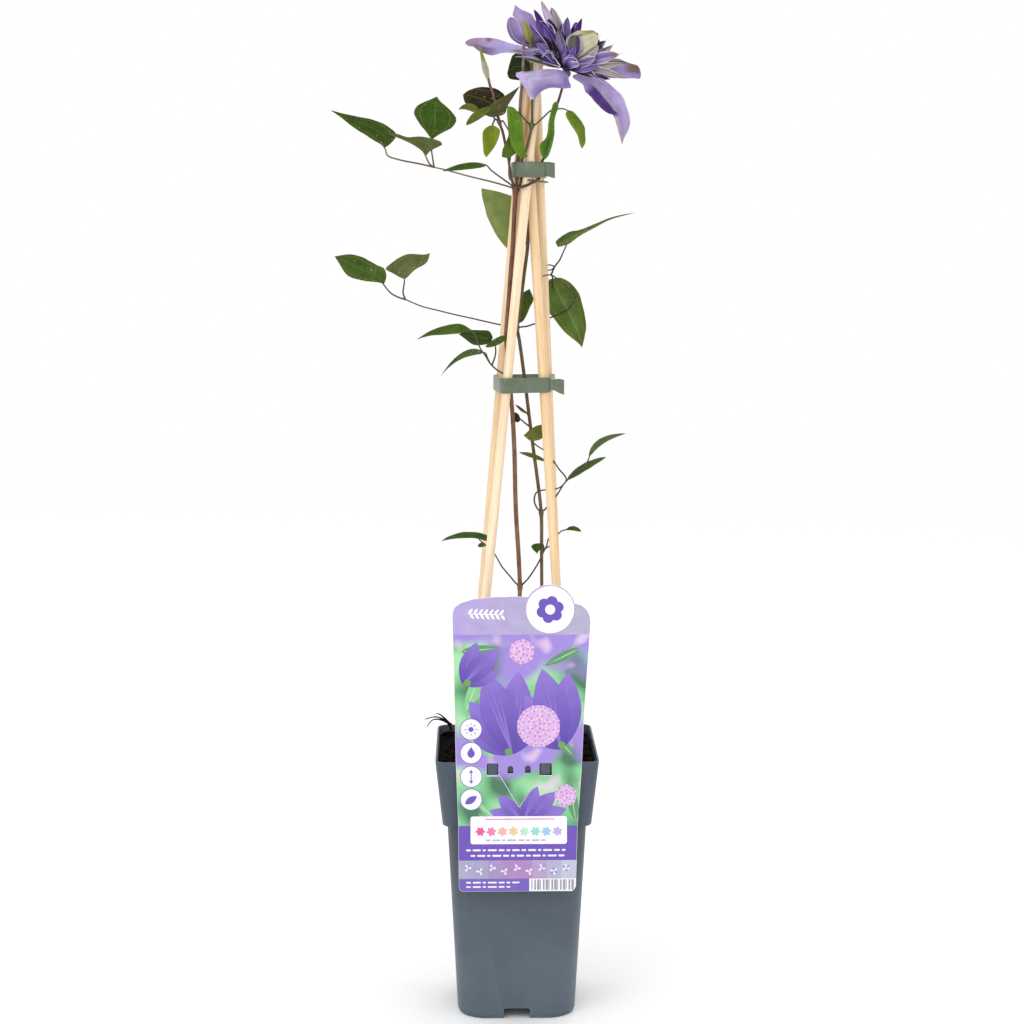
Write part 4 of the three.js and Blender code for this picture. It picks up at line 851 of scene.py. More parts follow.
def flat_shape(outlines, thickness, in_front=0.0, soften=0.0):
    """Points and faces of a plate. The first outline is its edge, and the others are holes."""
    curve = bpy.data.curves.new("outline", "CURVE")
    curve.dimensions = "2D"
    curve.fill_mode = "BOTH"
    curve.extrude = thickness / 2 - soften
    curve.bevel_depth = soften
    for outline in outlines:
        spline = curve.splines.new("POLY")
        spline.points.add(len(outline) - 1)
        for spot, (x, z) in zip(spline.points, outline):
            point = sighted(x, z, LABEL_FRONT_Y)
            spot.co = (point.x, point.z, 0, 1)
        spline.use_cyclic_u = True
    holder = bpy.data.objects.new("outline", curve)
    mesh = bpy.data.meshes.new_from_object(holder)
    middle = LABEL_FRONT_Y + thickness / 2 - in_front
    points = [Vector((vertex.co.x, middle - vertex.co.z, vertex.co.y)) for vertex in mesh.vertices]
    faces = [list(face.vertices) for face in mesh.polygons]
    bpy.data.objects.remove(holder)
    bpy.data.meshes.remove(mesh)
    return points, faces


def spot_at(centre, reach, angle):
    """The spot at a distance and an angle from another."""
    return centre[0] + reach * math.cos(angle), centre[1] + reach * math.sin(angle)


def arc(centre, radius, start, end, steps):
    """The spots along an arc."""
    return [spot_at(centre, radius, start + (end - start) * k / steps) for k in range(steps + 1)]


def disc(centre, radius, steps=40):
    return arc(centre, radius, 0, math.tau * (1 - 1 / steps), steps - 1)


def bar(left, bottom, right, top, corner=0.0):
    """A rectangle, whose corners may be rounded."""
    if corner == 0:
        return [(left, bottom), (right, bottom), (right, top), (left, top)]
    outline = []
    for cx, cz, turn in [(right - corner, bottom + corner, -1), (right - corner, top - corner, 0),
                         (left + corner, top - corner, 1), (left + corner, bottom + corner, 2)]:
        outline += arc((cx, cz), corner, math.pi / 2 * turn, math.pi / 2 * (turn + 1), 6)
    return outline


label = Skin()


def between(first, second, share):
    """The hex colour at a share of the way from one to the other."""
    share = max(0.0, min(1.0, share))
    pairs = [(int(first[i:i + 2], 16), int(second[i:i + 2], 16)) for i in (1, 3, 5)]
    return "#" + "".join(f"{round(a + (b - a) * share):02x}" for a, b in pairs)


def ink_shape(outline, tint, layer, coat=0, holes=()):
    """Prints one shape. A higher layer lies in front of a lower one. tint may depend on the point."""
    points, faces = flat_shape([outline, *holes], INK_STEP * 0.6, INK_STEP * (layer + 0.6))
    label.add(points, faces, tint=[tint(point) for point in points] if callable(tint) else tint, coat=coat)


# %% [markdown]
# ## The plate's outline and fields
# The plate is cut with a round tab at the top right, two slots for the lugs and two small arched
# holes between them. The print is set out in fields that run out to the cut edge: a lilac head,
# the picture, a white panel on a violet ground, a pale strip, and a foot with a row of stripes.

# %% Cut the plate and print its fields
TAB_CENTRE = (22.5, 264)
TAB_RADIUS = 16.5
BLEED = 0.12
WHITE = "#f2f0f6"
VIOLET = "#6b4fb8"
TAB_INK = "#fbfafc"

plate_edge = [
    (-41.5, 260), (-41.2, 262.8), (-40, 265.6), (-36, 268.5), (-28, 271), (-15, 272.3), (0, 272.7),
    *arc(TAB_CENTRE, TAB_RADIUS, 2.61, 0.24, 28),
    (42.6, 266.9), (45, 265.2), (47, 263), (48, 261), (48.8, 258.4), (49, 255), (45, 193), (43.5, 155),
    (41, 118), (40.1, 77), (39.3, 74.8), (37.5, 73.5), (-35.5, 73.5), (-37.2, 74.8), (-37.8, 77),
    (-38, 118), (-39.5, 160), (-40, 190)]
SLOTS = [bar(-19.2, 153, -11.5, 161, 0.8), bar(15.6, 152.5, 24, 161, 0.8)]
ARCH_RADIUS = 2
ARCH_FOOT = 3.3
arches = [[*arc((x, z), ARCH_RADIUS, 0, math.pi, 14),
           (x - ARCH_RADIUS, z - ARCH_FOOT), (x + ARCH_RADIUS, z - ARCH_FOOT)]
          for x, z in ((-3.5, 157.2), (8, 157.5))]
windows = [*SLOTS, *arches]
label.add(*flat_shape([plate_edge, *windows], LABEL_THICKNESS, soften=0.05), tint=WHITE)


def edge_x(z, side):
    """Where the plate's left (-1) or right (1) edge lies at height z, less the bleed."""
    spots = [point for point in plate_edge if point[0] * side > 30 and point[1] < 262]
    spots.sort(key=lambda point: point[1])
    for (xa, za), (xb, zb) in zip(spots, spots[1:]):
        if za <= z <= zb:
            return xa + (xb - xa) * (z - za) / (zb - za) - side * BLEED
    return spots[-1][0] - side * BLEED


def field(low, high, levels=()):
    """The part of the plate between two heights."""
    heights = [low, *levels, high]
    return [(edge_x(z, 1), z) for z in heights] + [(edge_x(z, -1), z) for z in reversed(heights)]


HEAD_FOOT = 247.4
GROUND_TOP = 118.5
STRIP_TOP = 94.8
STRIP_FOOT = 82.2
head_field = [(edge_x(HEAD_FOOT, -1), HEAD_FOOT)] + [
    (x - BLEED * math.copysign(1, x), z - BLEED) for x, z in plate_edge if z > HEAD_FOOT] + [
    (edge_x(HEAD_FOOT, 1), HEAD_FOOT)]


def head_tint(point):
    lilac = between("#b195dc", "#b3a2d8", abs(point.x) / 30)
    return between(lilac, "#b3aec6", (point.x - 14) / 12)


ink_shape(head_field, head_tint, 0)
ink_shape(field(GROUND_TOP, HEAD_FOOT, (155, 193)), WHITE, 0, coat=1, holes=windows)
ink_shape(field(STRIP_TOP, GROUND_TOP, (118,)), "#6c4db6", 0)
STRIP_INKS = ["#a7a6c2", "#a2a0be", "#a48fbd", "#ac85ba", "#ae86bc", "#b09abf", "#b2b2ca", "#bcc0d4"]
strip_left, strip_right = edge_x(88.5, -1), edge_x(88.5, 1)
for k, tint in enumerate(STRIP_INKS):
    from_x, to_x = [strip_left + (strip_right - strip_left) * share / len(STRIP_INKS) for share in (k, k + 1)]
    ink_shape(bar(from_x, STRIP_FOOT, to_x, STRIP_TOP), tint, 0)
foot_left, foot_right = edge_x(STRIP_FOOT, -1), edge_x(STRIP_FOOT, 1)
ink_shape([(-35.4, 73.6), (39, 73.6), (39.9, 77), (foot_right, STRIP_FOOT), (foot_left, STRIP_FOOT),
           (-37.7, 77), (-37.1, 74.9)], "#745cba", 0)
ink_shape(bar(-30, 106, 34, 125, 1.6), "#f7f5fa", 7)
ink_shape(bar(-20, 122.6, 26, 123.4, 0.3), "#e48ab8", 7.6)
ink_shape(disc(TAB_CENTRE, 15.7, 64), TAB_INK, 7)
print("print points so far:", len(label.points))

# %% [markdown]
# ## The picture and the small signs
# The picture is a bed of violet flowers seen from the side, with long petals that spread upwards,
# clusters of small pink florets, and narrow green leaves. Petals are dark at the foot and paler
# towards the tip. Down the left side four white discs carry plain signs: sun, water, height and
# leaf. Every shape that could touch another has a layer of its own, because two inks at the same
# depth would show as black.

# %% Petals, florets and leaves
LAYER_STEP = 0.1


def petal_outline(centre, angle, length, width, blunt):
    """A petal from its foot outwards. A larger blunt makes a rounder end."""
    side = []
    steps = 12
    for k in range(steps + 1):
        share = k / steps
        girth = math.sin(math.pi * share ** blunt) ** 0.85 if 0 < share < 1 else 0.0
        side.append((share * length, width / 2 * girth))
    outline = side + [(x, -z) for x, z in reversed(side[1:-1])]
    turn_x, turn_z = math.cos(angle), math.sin(angle)
    return [(centre[0] + x * turn_x - z * turn_z, centre[1] + x * turn_z + z * turn_x) for x, z in outline]


def petal_ink(centre, dark, pale, reach):
    middle = sighted(centre[0], centre[1], LABEL_FRONT_Y)
    return lambda point: between(dark, pale, math.hypot(point.x - middle.x, point.z - middle.z) / reach)


def printed_flower(foot, petals, layer):
    """A flower seen from the side. Each petal is an angle and a length, the rear ones first."""
    for angle, length in petals:
        ink_shape(petal_outline(foot, angle, length, length * 0.42, 0.95),
                  petal_ink(foot, "#4f38a0", "#9478d2", length), layer)
        for lean, share in ((0, 0.94), (0.09, 0.7), (-0.09, 0.7)):
            layer += LAYER_STEP
            ink_shape(petal_outline(foot, angle + lean, length * share, length * 0.02, 0.8), "#8a70cc", layer)
        layer += LAYER_STEP
    ink_shape(petal_outline(foot, petals[0][0], 6, 5, 1.2), "#6d9a52", layer)


def floret(centre, radius, turn, layer, tints=("#e9c4ea", "#c98fd6")):
    for k in range(6):
        angle = turn + math.tau * k / 6
        outline = petal_outline(centre, angle, radius, radius * 0.62, 1.3)
        ink_shape(outline, tints[k % 2], layer + LAYER_STEP * k)
    ink_shape(disc(centre, radius * 0.22, 10), "#e6d2a4", layer + 6 * LAYER_STEP)


def cluster(centre, rings, reach, radius, layer):
    """Florets in rings on a pale ground, each ring a little smaller than the one inside it."""
    ink_shape(disc(centre, reach * (rings - 1) + radius * 0.7, 32), "#d9b2e0", layer - LAYER_STEP)
    for ring in range(rings):
        count = max(1, 6 * ring)
        for k in range(count):
            angle = math.tau * k / count + 0.4 * ring
            floret(spot_at(centre, reach * ring, angle), radius * (1 - 0.08 * ring), angle, layer)


PRINTED_LEAVES = [
    (-33, 196, 1.2, 34), (38, 166, 2.3, 26), (-14, 165, 2.5, 22), (40, 122, 1.75, 30), (-12, 122, 2.4, 20),
    (42, 238, 3.6, 26), (27, 124, 1.2, 24), (-36, 236, 0.1, 26)]
for number, (x, z, angle, length) in enumerate(PRINTED_LEAVES):
    layer = 0.6 + 0.2 * number
    green = "#5d9468" if number % 2 else "#86c98c"
    ink_shape(petal_outline((x, z), angle, length, length * 0.24, 0.8), green, layer)
    ink_shape(petal_outline((x, z), angle, length * 0.9, 0.6, 0.8), "#b4e0b0", layer + LAYER_STEP)
printed_flower((-2, 167), [(2.6, 36), (1.15, 46), (2.25, 46), (1.5, 56), (1.88, 58)], 2.2)
printed_flower((30, 170), [(1.48, 52), (2.4, 34), (2.15, 44), (1.8, 56)], 2.95)
printed_flower((-35, 214), [(0.35, 26), (1.25, 30), (0.8, 34)], 4.2)
printed_flower((5, 121), [(0.3, 30), (2.8, 24), (0.75, 30), (2.3, 25), (1.2, 26)], 2.2)
cluster((15, 186), 3, 6, 3, 4.75)
cluster((4, 236), 2, 6, 3, 5)
cluster((33, 139), 2, 5.4, 2.7, 5)

# %% Signs on the left, marks on the head, the tab, the panel and the foot
SIGN_X = -29.5
SUN = (SIGN_X, 184)
SIGN_LAYER = 7.6
DASH_LAYER = 2
CREASE_LAYER = 8.2
MARK_INK = "#faf8fc"
for z in (184, 168, 152, 136.5):
    ink_shape(disc((SIGN_X, z), 7.3), "#7a5fc0", 7)
    ink_shape(disc((SIGN_X, z), 6.9), "#f3f0f8", 7.3)
ink_shape(disc(SUN, 1.7, 20), VIOLET, SIGN_LAYER)
for k in range(8):
    angle = k * math.pi / 4
    ink_shape(petal_outline(spot_at(SUN, 2.4, angle), angle, 2.2, 0.5, 1), VIOLET, SIGN_LAYER)
ink_shape(petal_outline((SIGN_X, 172.6), -math.pi / 2, 8, 5, 1.5), VIOLET, SIGN_LAYER)
ink_shape(bar(SIGN_X - 0.3, 149.2, SIGN_X + 0.3, 154.8), VIOLET, SIGN_LAYER)
for tip, base in ((157, 154.6), (147, 149.4)):
    ink_shape([(SIGN_X, tip), (SIGN_X - 1.3, base), (SIGN_X + 1.3, base)], VIOLET, SIGN_LAYER + 0.2)
ink_shape(petal_outline((SIGN_X - 4, 133.5), 0.6, 9.5, 4.6, 0.9), VIOLET, SIGN_LAYER)

ink_shape(petal_outline((-34, 261.5), -0.04, 27, 0.9, 1), MARK_INK, 7)
for k in range(7):
    x = -31 + 3.4 * k
    ink_shape(petal_outline((x, 261.4 - 0.14 * k), 0.9, 4.6, 1.9, 0.9), MARK_INK, 7.2)
    ink_shape(petal_outline((x + 1, 261.2 - 0.14 * k), -0.9, 4.2, 1.8, 0.9), MARK_INK, 7.4)
for k in range(6):
    angle = math.tau * k / 6 + 0.3
    ink_shape(disc(spot_at(TAB_CENTRE, 5.4, angle), 3.7, 24), VIOLET, 7.3 + LAYER_STEP * k)
ink_shape(disc(TAB_CENTRE, 3.3, 24), TAB_INK, 8)
PANEL_INKS = ["#e8579c", "#ea7fb0", "#efb0a0", "#f0cd9c", "#bfe0c0", "#98d6cc", "#9ccbe6", "#b9b4e6"]
for k, tint in enumerate(PANEL_INKS):
    for turn in range(6):
        ink_shape(petal_outline((-23.5 + 7.3 * k, 114.6), math.tau * turn / 6 + 0.2 * k, 3.4, 2, 1.2), tint,
                  7.4 + LAYER_STEP * turn)
DASH_LENGTHS = [3.2, 5.4, 2.2, 6.0, 4.0, 2.6, 5.0]


def dashes(left, right, z, height, tint, layer=DASH_LAYER):
    """A row of short rounded dashes of several lengths."""
    for length in itertools.cycle(DASH_LENGTHS):
        if left + length >= right:
            break
        ink_shape(bar(left, z - height / 2, left + length, z + height / 2, height * 0.45), tint, layer)
        left += length + 1.2


dashes(-20, 26, 108.6, 1.2, "#b9aee0", SIGN_LAYER)
dashes(-33, 36, 101.8, 1.3, "#efeaf6")
dashes(-30, 33, 98, 1.3, "#efeaf6")
dashes(-33, 5, 79.6, 1.1, "#f2eef8")
dashes(-33, 2, 76.6, 1.1, "#f2eef8")
for k in range(9):
    floret((-32 + 8.2 * k, 88.4 + 1.2 * (-1) ** k), 2.7, k, 3, ("#f0e2f4", "#a98bd0"))
ink_shape([(9, 73.6), (37.6, 73.6), (39.2, 74.9), (39.9, 77), (foot_right, STRIP_FOOT), (9, STRIP_FOOT)],
          "#f4f3f7", 1)
for k in range(15):
    ink_shape(bar(10.5 + 1.9 * k, 74.4, 11.1 + 1.9 * k + 0.5 * (k % 3), 81.6), "#9a98a6", DASH_LAYER)

# %% The creases below the slots, and the plate as a piece
CREASE_WIDTH = 0.45
for start in ((-11.5, 154), (16.5, 153.2)):
    ink_shape([start, (start[0] + CREASE_WIDTH, start[1]), (2.4, 131), (2, 131)], "#e2ddec", CREASE_LAYER)
for left, right in ((-19.4, -11.3), (15.4, 24.2)):
    ink_shape(bar(left, 152.2, right, 152.8, 0.25), "#e4e0ee", CREASE_LAYER)
make_piece("label", label, [film_print, garden_print], smooth_below=30)
print("label faces:", len(label.faces))

# %% [markdown]
# ## The plant's skin
# Stems and stalks are half-woody: a thin bark over green tissue, with fine ribs and fibres along
# them. It is dull, with a slight gloss where it is young. The fibres are about 0.3 mm apart and
# follow the stem, because the pattern reads the place on the straightened stem.

# %% Clematis bark, grown
bark, add = start_material("clematis bark, grown", IOR=1.45, Roughness=0.55)
place = add("Attribute", attribute_name="place").outputs["Vector"]
tint = add("Attribute", attribute_name="tint")
along_stem = add("Mapping", {"Vector": place, "Scale": (1.0, 1.0, 0.05)})
fibres = add("TexNoise", {"Vector": along_stem, "Scale": per_mm(0.35), "Detail": 3.0})
patches = add("TexNoise", {"Vector": place, "Scale": per_mm(7), "Detail": 3.0})
fibre_tone = add("ValToRGB", {"Fac": fibres}, stops=[(0.3, "#9a9088"), (0.7, "#ffffff")])
patch_tone = add("ValToRGB", {"Fac": patches}, stops=[(0.35, "#c0b8a8"), (0.65, "#ffffff")])
ribbed = add("MixRGB", {"Fac": 1.0, "Color1": tint, "Color2": fibre_tone}, blend_type="MULTIPLY")
add("MixRGB", {"Fac": 0.8, "Color1": ribbed, "Color2": patch_tone}, blend_type="MULTIPLY", feeds="Base Color")
add("Bump", {"Height": fibres, "Strength": 0.6, "Distance": 0.12 * MM}, feeds="Normal")

# %% [markdown]
# ## Stems and shoots
# The two stems rise from the soil between the canes. Each is one tube that thickens where leaves
# and shoots grow from it. The radius adds a soft swelling round each node, so stem and node are
# one growth with no seam.

# %% Sweep the stems and shoots
STEM_SIDES = 12
STEM_RIBS = 6
RIB_DEPTH = 0.06
STEM_LEFT = [
    (3.5, 170, -5), (2.5, 225, -5), (2.5, 272, -5), (2.7, 279, -5), (1.8, 300, -5), (0, 330, -5),
    (-1, 370, -6), (-2.2, 392, -8), (-5, 425, -9), (-6.2, 443, -8), (-5, 460, -7), (-3.5, 480, -6),
    (-2, 500, -5), (-1, 520, -5), (0, 536, -5)]
STEM_RIGHT = [
    (18, 170, 0), (17.3, 240, 0), (16.8, 300, 0), (16.5, 328, 0), (14, 350, 0), (11, 372, 0), (8, 396, 0),
    (5, 420, 0), (2.2, 440, 0), (0.8, 448, 0), (2, 455, 0), (5, 480, 0), (7.5, 500, 0.5), (8, 520, 3.4),
    (8, 535, 5.4), (8.2, 548, 6.8), (8, 560, 7.9), (7.9, 575, 9.5), (7.6, 598, 11.9)]
NODES = {
    "left_low": (sighted(2.7, 279, -5), 1.9),
    "left_top": (sighted(0, 536, -5), 2.5),
    "right_low": (sighted(16.5, 328, 0), 1.7),
    "right_middle": (sighted(0.8, 448, 0), 1.6),
    "bud_shoot": (sighted(-10.6, 578, -8), 1.5),
    "green_shoot": (sighted(10, 575.5, -9.8), 1.7),
}


def stem_radius(thin, swellings):
    """The radius of a stem that is thin between its nodes and swells softly at each of them."""
    def radius_at(share, point):
        swell = max([math.exp(-((point - centre).length / radius) ** 2) * (radius - thin)
                     for centre, radius in swellings] or [0])
        return thin * (1 + 0.05 * noise.noise(point * 0.15)) + swell
    return radius_at


def stem_tints(line, sides, lower, upper, blend=0.5):
    """One tint a ring, from lower to upper, with a slow wander between them."""
    tints = []
    for i, point in enumerate(line):
        share = i / (len(line) - 1) + blend * noise.noise(point * 0.02)
        tints += [between(lower, upper, share)] * sides
    return tints


def grow(name, points, thin, swellings, lower, upper):
    """A stem or shoot as one piece: a ribbed tube and a round body at each swelling."""
    line = smooth_line(points, 8)
    skin = Skin()
    skin.add(*tube(line, stem_radius(thin, swellings), STEM_SIDES, STEM_RIBS, RIB_DEPTH),
             tint=stem_tints(line, STEM_SIDES, lower, upper))
    for centre, radius in swellings:
        skin.add(*ball(centre, radius * 0.96, 1.15), tint=upper)
    return make_piece(name, skin, [bark])


def rooted(points):
    """The line of a stem, led on down into the soil."""
    crown = sighted(*points[0])
    return [Vector((crown.x, crown.y, SOIL_LEVEL - 16)), *[sighted(*point) for point in points]]


def seat(centre, radius, towards, depth=0.9):
    """A start for a stalk, just inside the skin of the node that it grows from."""
    return centre + (towards - centre).normalized() * (radius * depth)


def shoot(points):
    """The line of a shoot that starts in the top node of the left stem."""
    line = [sighted(*point) for point in points]
    return [seat(*NODES["left_top"], line[0]), *line]


BUD_SHOOT = [
    (-2.2, 540.2, -7.9), (-3.5, 546, -8), (-4.6, 554, -8), (-6.5, 563, -8), (-8.5, 572, -8),
    (-10.6, 578, -8), (-14, 594, -8), (-16.5, 601, -8), (-17.8, 606.2, -8)]
CUT_SHOOT = [
    (0.4, 541, -4.7), (0.6, 548, -4.5), (1, 553.5, -4.9), (1.5, 560, -5.8), (2, 570, -6.8),
    (2.5, 585, -7.8), (3.3, 597, -8.7), (4.3, 605, -9.4), (4.7, 615, -9.8), (5, 628.5, -10)]
GREEN_SHOOT = [
    (3.1, 539.5, -4.3), (3.8, 548, -4.5), (3.9, 553, -6.6), (5, 557, -9.4), (7, 562, -10.4),
    (8.5, 568, -10.1), (10, 575.5, -9.8), (10.3, 585, -8.7), (10.2, 597, -7.7), (10.3, 606, -6.8),
    (10.2, 612, -4.8), (10, 620, -2.6), (9.5, 628.2, -2)]
FLOWER_STALK = [
    (3, 537.2, -10.5), (7, 538.3, -13.2), (10, 539.8, -12.4), (12.8, 541.2, -8.8), (14.6, 542.6, -5),
    (15.6, 548, -3.6), (16.6, 553, -3.7), (18, 556, -4.6), (20.5, 566, -6), (24, 585, -7.3),
    (26.3, 589.5, -7.6), (29, 598, -8), (31, 605, -8)]
grow("stem_left", rooted(STEM_LEFT), 1.4, [NODES["left_low"], NODES["left_top"]], "#a8825f", "#8c5a42")
grow("stem_right", rooted(STEM_RIGHT), 1.1, [NODES["right_low"], NODES["right_middle"]], "#85704a", "#64642c")
grow("shoot_bud", shoot(BUD_SHOOT), 0.85, [NODES["bud_shoot"]], "#6a4a44", "#86685a")
grow("shoot_cut", shoot(CUT_SHOOT), 0.9, [], "#7c6256", "#a08478")
grow("shoot_green", shoot(GREEN_SHOOT), 0.8, [NODES["green_shoot"]], "#5d5a2c", "#7d8c42")
grow("flower_stalk", shoot(FLOWER_STALK), 0.85, [], "#5d4438", "#7a5f4c")
print("stems and shoots: 6")

# %% [markdown]
# ## Leaf tissue
# A leaf is a waxy skin over green tissue. Three to five veins run from its base and arch to its
# tip, with a fine net between them. Seen from above the veins are sunk and paler, and the wax
# gives a soft gloss. Edges and tips of nursery leaves turn yellow or brown. The net is about
# 2.5 mm wide.

# %% Leaf, grown, with its wax
VEIN_SPACING = 0.36  # as a share of half the blade's width
leaf_tissue, add = start_material(
    "clematis leaf, waxed", IOR=1.42, Roughness=0.4, Subsurface_Weight=0.06, Subsurface_Scale=0.001,
    Specular_IOR_Level=0.14)
place = add("Attribute", attribute_name="place").outputs["Vector"]
tint = add("Attribute", attribute_name="tint")
space = add("TexCoord").outputs["Object"]
spot = add("SeparateXYZ", {"Vector": place})
from_vein = add("Math", {0: spot.outputs["Y"], 1: VEIN_SPACING}, operation="PINGPONG")
vein = add("ValToRGB", {"Fac": from_vein}, stops=[(0.0, 1), (0.035, 0)])
net = add("TexVoronoi", {"Vector": space, "Scale": per_mm(2.5)}, feature="DISTANCE_TO_EDGE")
net_line = add("ValToRGB", {"Fac": net}, stops=[(0.0, 1), (0.12, 0)])
cloud = add("TexNoise", {"Vector": space, "Scale": per_mm(8), "Detail": 4.0})
cloud_tone = add("ValToRGB", {"Fac": cloud}, stops=[(0.32, "#ced4cb"), (0.66, 1)])
mottled = add("MixRGB", {"Fac": 1.0, "Color1": tint, "Color2": cloud_tone}, blend_type="MULTIPLY")
net_fade = add("Math", {0: net_line, 1: 0.06}, operation="MULTIPLY")
netted = add("MixRGB", {"Fac": net_fade, "Color1": mottled, "Color2": "#98a858"})
vein_fade = add("Math", {0: vein, 1: 0.28}, operation="MULTIPLY")
veined = add("MixRGB", {"Fac": vein_fade, "Color1": netted, "Color2": "#a3ae60"})
edge = add("Math", {0: spot.outputs["Y"]}, operation="ABSOLUTE")
rim_noise = add("Math", {0: edge, 1: cloud}, operation="MULTIPLY")
rim = add("ValToRGB", {"Fac": rim_noise}, stops=[(0.52, 0), (0.68, 0.6)])
dried = add("MixRGB", {"Fac": rim, "Color1": veined, "Color2": "#77732c"})
speck_noise = add("TexNoise", {"Vector": space, "Scale": per_mm(1.6), "Detail": 1.0})
speck = add("ValToRGB", {"Fac": speck_noise}, stops=[(0.71, 0), (0.75, 0.7)])
speckled = add("MixRGB", {"Fac": speck, "Color1": dried, "Color2": "#b0a070"})
add("HueSaturation", {"Color": speckled, "Value": 0.88}, feeds="Base Color")
add("MapRange", {"Value": cloud, "To Min": 0.3, "To Max": 0.5}, feeds="Roughness")
height = add("Math", {0: vein, 1: net_line}, operation="ADD")
add("Bump", {"Height": height, "Strength": 0.5, "Distance": -0.12 * MM}, feeds="Normal")

# %% [markdown]
# ## The blade of a leaf or petal
# A subdivided plane would need bending by hand for each of the ninety blades here. Instead a
# blade is described as a plant is drawn: its base, its tip and its two edges, point by point as
# they are seen, and the depths of its base, middle and tip. A narrow blade needs only five points,
# and its edges follow from them. A fine grid is laid between the edges. The grid then gets puffed
# fields between the veins, waves along the edge, and a little thickness.

# %% Lay a fine grid between the two edges of a blade
NARROW_FULLNESS = 0.6
ALONG = 30
ACROSS = 20
SHARES = [(1 - math.cos(math.pi * i / ALONG)) / 2 for i in range(ALONG + 1)]
UNDERSIDE = "#6f7f58"
LEAF_LOOK = {"thickness": 0.32, "puff": 0.22, "ripple": 0.5, "waves": 3.5, "cup": 0.4, "ragged": 0.03}


def bend(start, middle, end, u):
    """The value at a share u of the way on the curve from start over middle to end."""
    return start * (1 - u) ** 2 + (middle * 2 - (start + end) / 2) * (2 * u * (1 - u)) + end * u * u


def five_points(base, middle, tip, left, right, widest, fullness):
    """Midrib and edges of a blade from its base, midrib, tip and the outermost point of each side."""
    midrib = [bend(base, middle, tip, u) for u in SHARES]
    widths = [(u / widest) ** fullness * ((1 - u) / (1 - widest)) ** (fullness * (1 - widest) / widest)
              for u in SHARES]
    widest_point = bend(base, middle, tip, widest)
    return midrib, *[[point + (side - widest_point) * width for point, width in zip(midrib, widths)]
                     for side in (left, right)]


def narrow(spots, widest=0.45):
    """A narrow blade from its base, midrib, tip, left and right, with depths."""
    return five_points(*[sighted(*spot) for spot in spots], widest, NARROW_FULLNESS)


def at_shares(line):
    """The points of a line at the shares of its length."""
    lengths = [0.0]
    for a, b in zip(line, line[1:]):
        lengths.append(lengths[-1] + (b - a).length)
    points = []
    i = 0
    for u in SHARES:
        while i < len(line) - 2 and lengths[i + 1] < u * lengths[-1]:
            i += 1
        share = (u * lengths[-1] - lengths[i]) / (lengths[i + 1] - lengths[i])
        points.append(line[i].lerp(line[i + 1], share))
    return points


def drawn(base, first_edge, tip, second_edge, depths):
    """Midrib and edges of a blade from its outline as it is seen, and three depths along it."""
    edges = []
    for edge in (first_edge, second_edge):
        flat = at_shares(smooth_line([Vector((x, 0, z)) for x, z in (base, *edge, tip)], 6))
        edges.append([sighted(point.x, point.z, bend(*depths, u)) for point, u in zip(flat, SHARES)])
    return [a.lerp(b, 0.5) for a, b in zip(*edges)], *edges


def tone_at(seen, u, w):
    """A tint at a spot, from one hex colour, stops across the blade, or a function of the spot."""
    if isinstance(seen, str):
        return seen
    if callable(seen):
        return seen(u, w)
    for (low, first), (high, second) in zip(seen, seen[1:]):
        if w <= high:
            return between(first, second, (w - low) / (high - low))
    return seen[-1][1]


def blade(skin, shape, seen, hidden=UNDERSIDE, tip_tint=None, look=LEAF_LOOK, seed=0.0):
    """Adds a blade. seen is the tint of the side that faces the eye, and hidden that of the other."""
    midrib, left, right = shape
    spans = [(a - b).length for a, b in zip(left, right)]
    half_way = ALONG // 2
    facing = (midrib[half_way + 1] - midrib[half_way - 1]).cross(left[half_way] - right[half_way])
    turn = 1 if facing.dot(EYE - midrib[half_way]) > 0 else -1
    rings, places, tints = [[midrib[0]]], [(0, 0, seed)], [tone_at(seen, 0, 0)]
    for i in range(1, ALONG):
        u = SHARES[i]
        girth = spans[i] / max(spans)
        rise = (midrib[i + 1] - midrib[i - 1]).cross(left[i] - right[i]).normalized() * turn
        row = []
        for j in range(ACROSS + 1):
            w = -1 + 2 * j / ACROSS
            side = (left[i] if w < 0 else right[i]) - midrib[i]
            ragged = 1 + look["ragged"] * noise.noise(Vector((u * 9, seed * 7 + (4 if w < 0 else 0), 1)))
            wave = math.sin(math.tau * look["waves"] * u + seed * 5 + (2 if w < 0 else 0))
            fields = look["puff"] * abs(math.sin(math.pi * w / VEIN_SPACING)) * (1 - w * w)
            lift = math.sqrt(girth) * (look["cup"] * w * w + look["ripple"] * abs(w) ** 2.5 * wave + fields)
            row.append((w, midrib[i] + side * (abs(w) * ragged) + rise * lift))
        ring = []
        for face in (1, -1):
            for w, point in row if face == 1 else row[-2:0:-1]:
                ring.append(point + rise * (face * look["thickness"] / 2 * (1 - w ** 4) * math.sqrt(girth)))
                places.append((u, w, seed))
                tone = tone_at(seen, u, w) if face == 1 else hidden
                tints.append(between(tone, tip_tint, (u - 0.75) / 0.22) if tip_tint else tone)
        rings.append(ring)
    rings.append([midrib[-1]])
    places.append((1, 0, seed))
    tints.append(tip_tint or tone_at(seen, 1, 0))
    skin.add(*loft(rings), places, tint=tints)


print("points in one blade:", 2 + (ALONG - 1) * 2 * ACROSS)

# %% [markdown]
# ## The leaves
# Each leaf has a wiry stalk that often twists round a cane, and one to four leaflets. A leaflet
# shows its glossy top or its dull grey-green underside, so each blade is given both tints: first
# the side that is seen from the front, then the other. Broad leaflets are drawn by their edges,
# and narrow ones by five points.

# %% Grow the leaves
STALK_RADIUS = 0.5
STALK_SIDES = 8


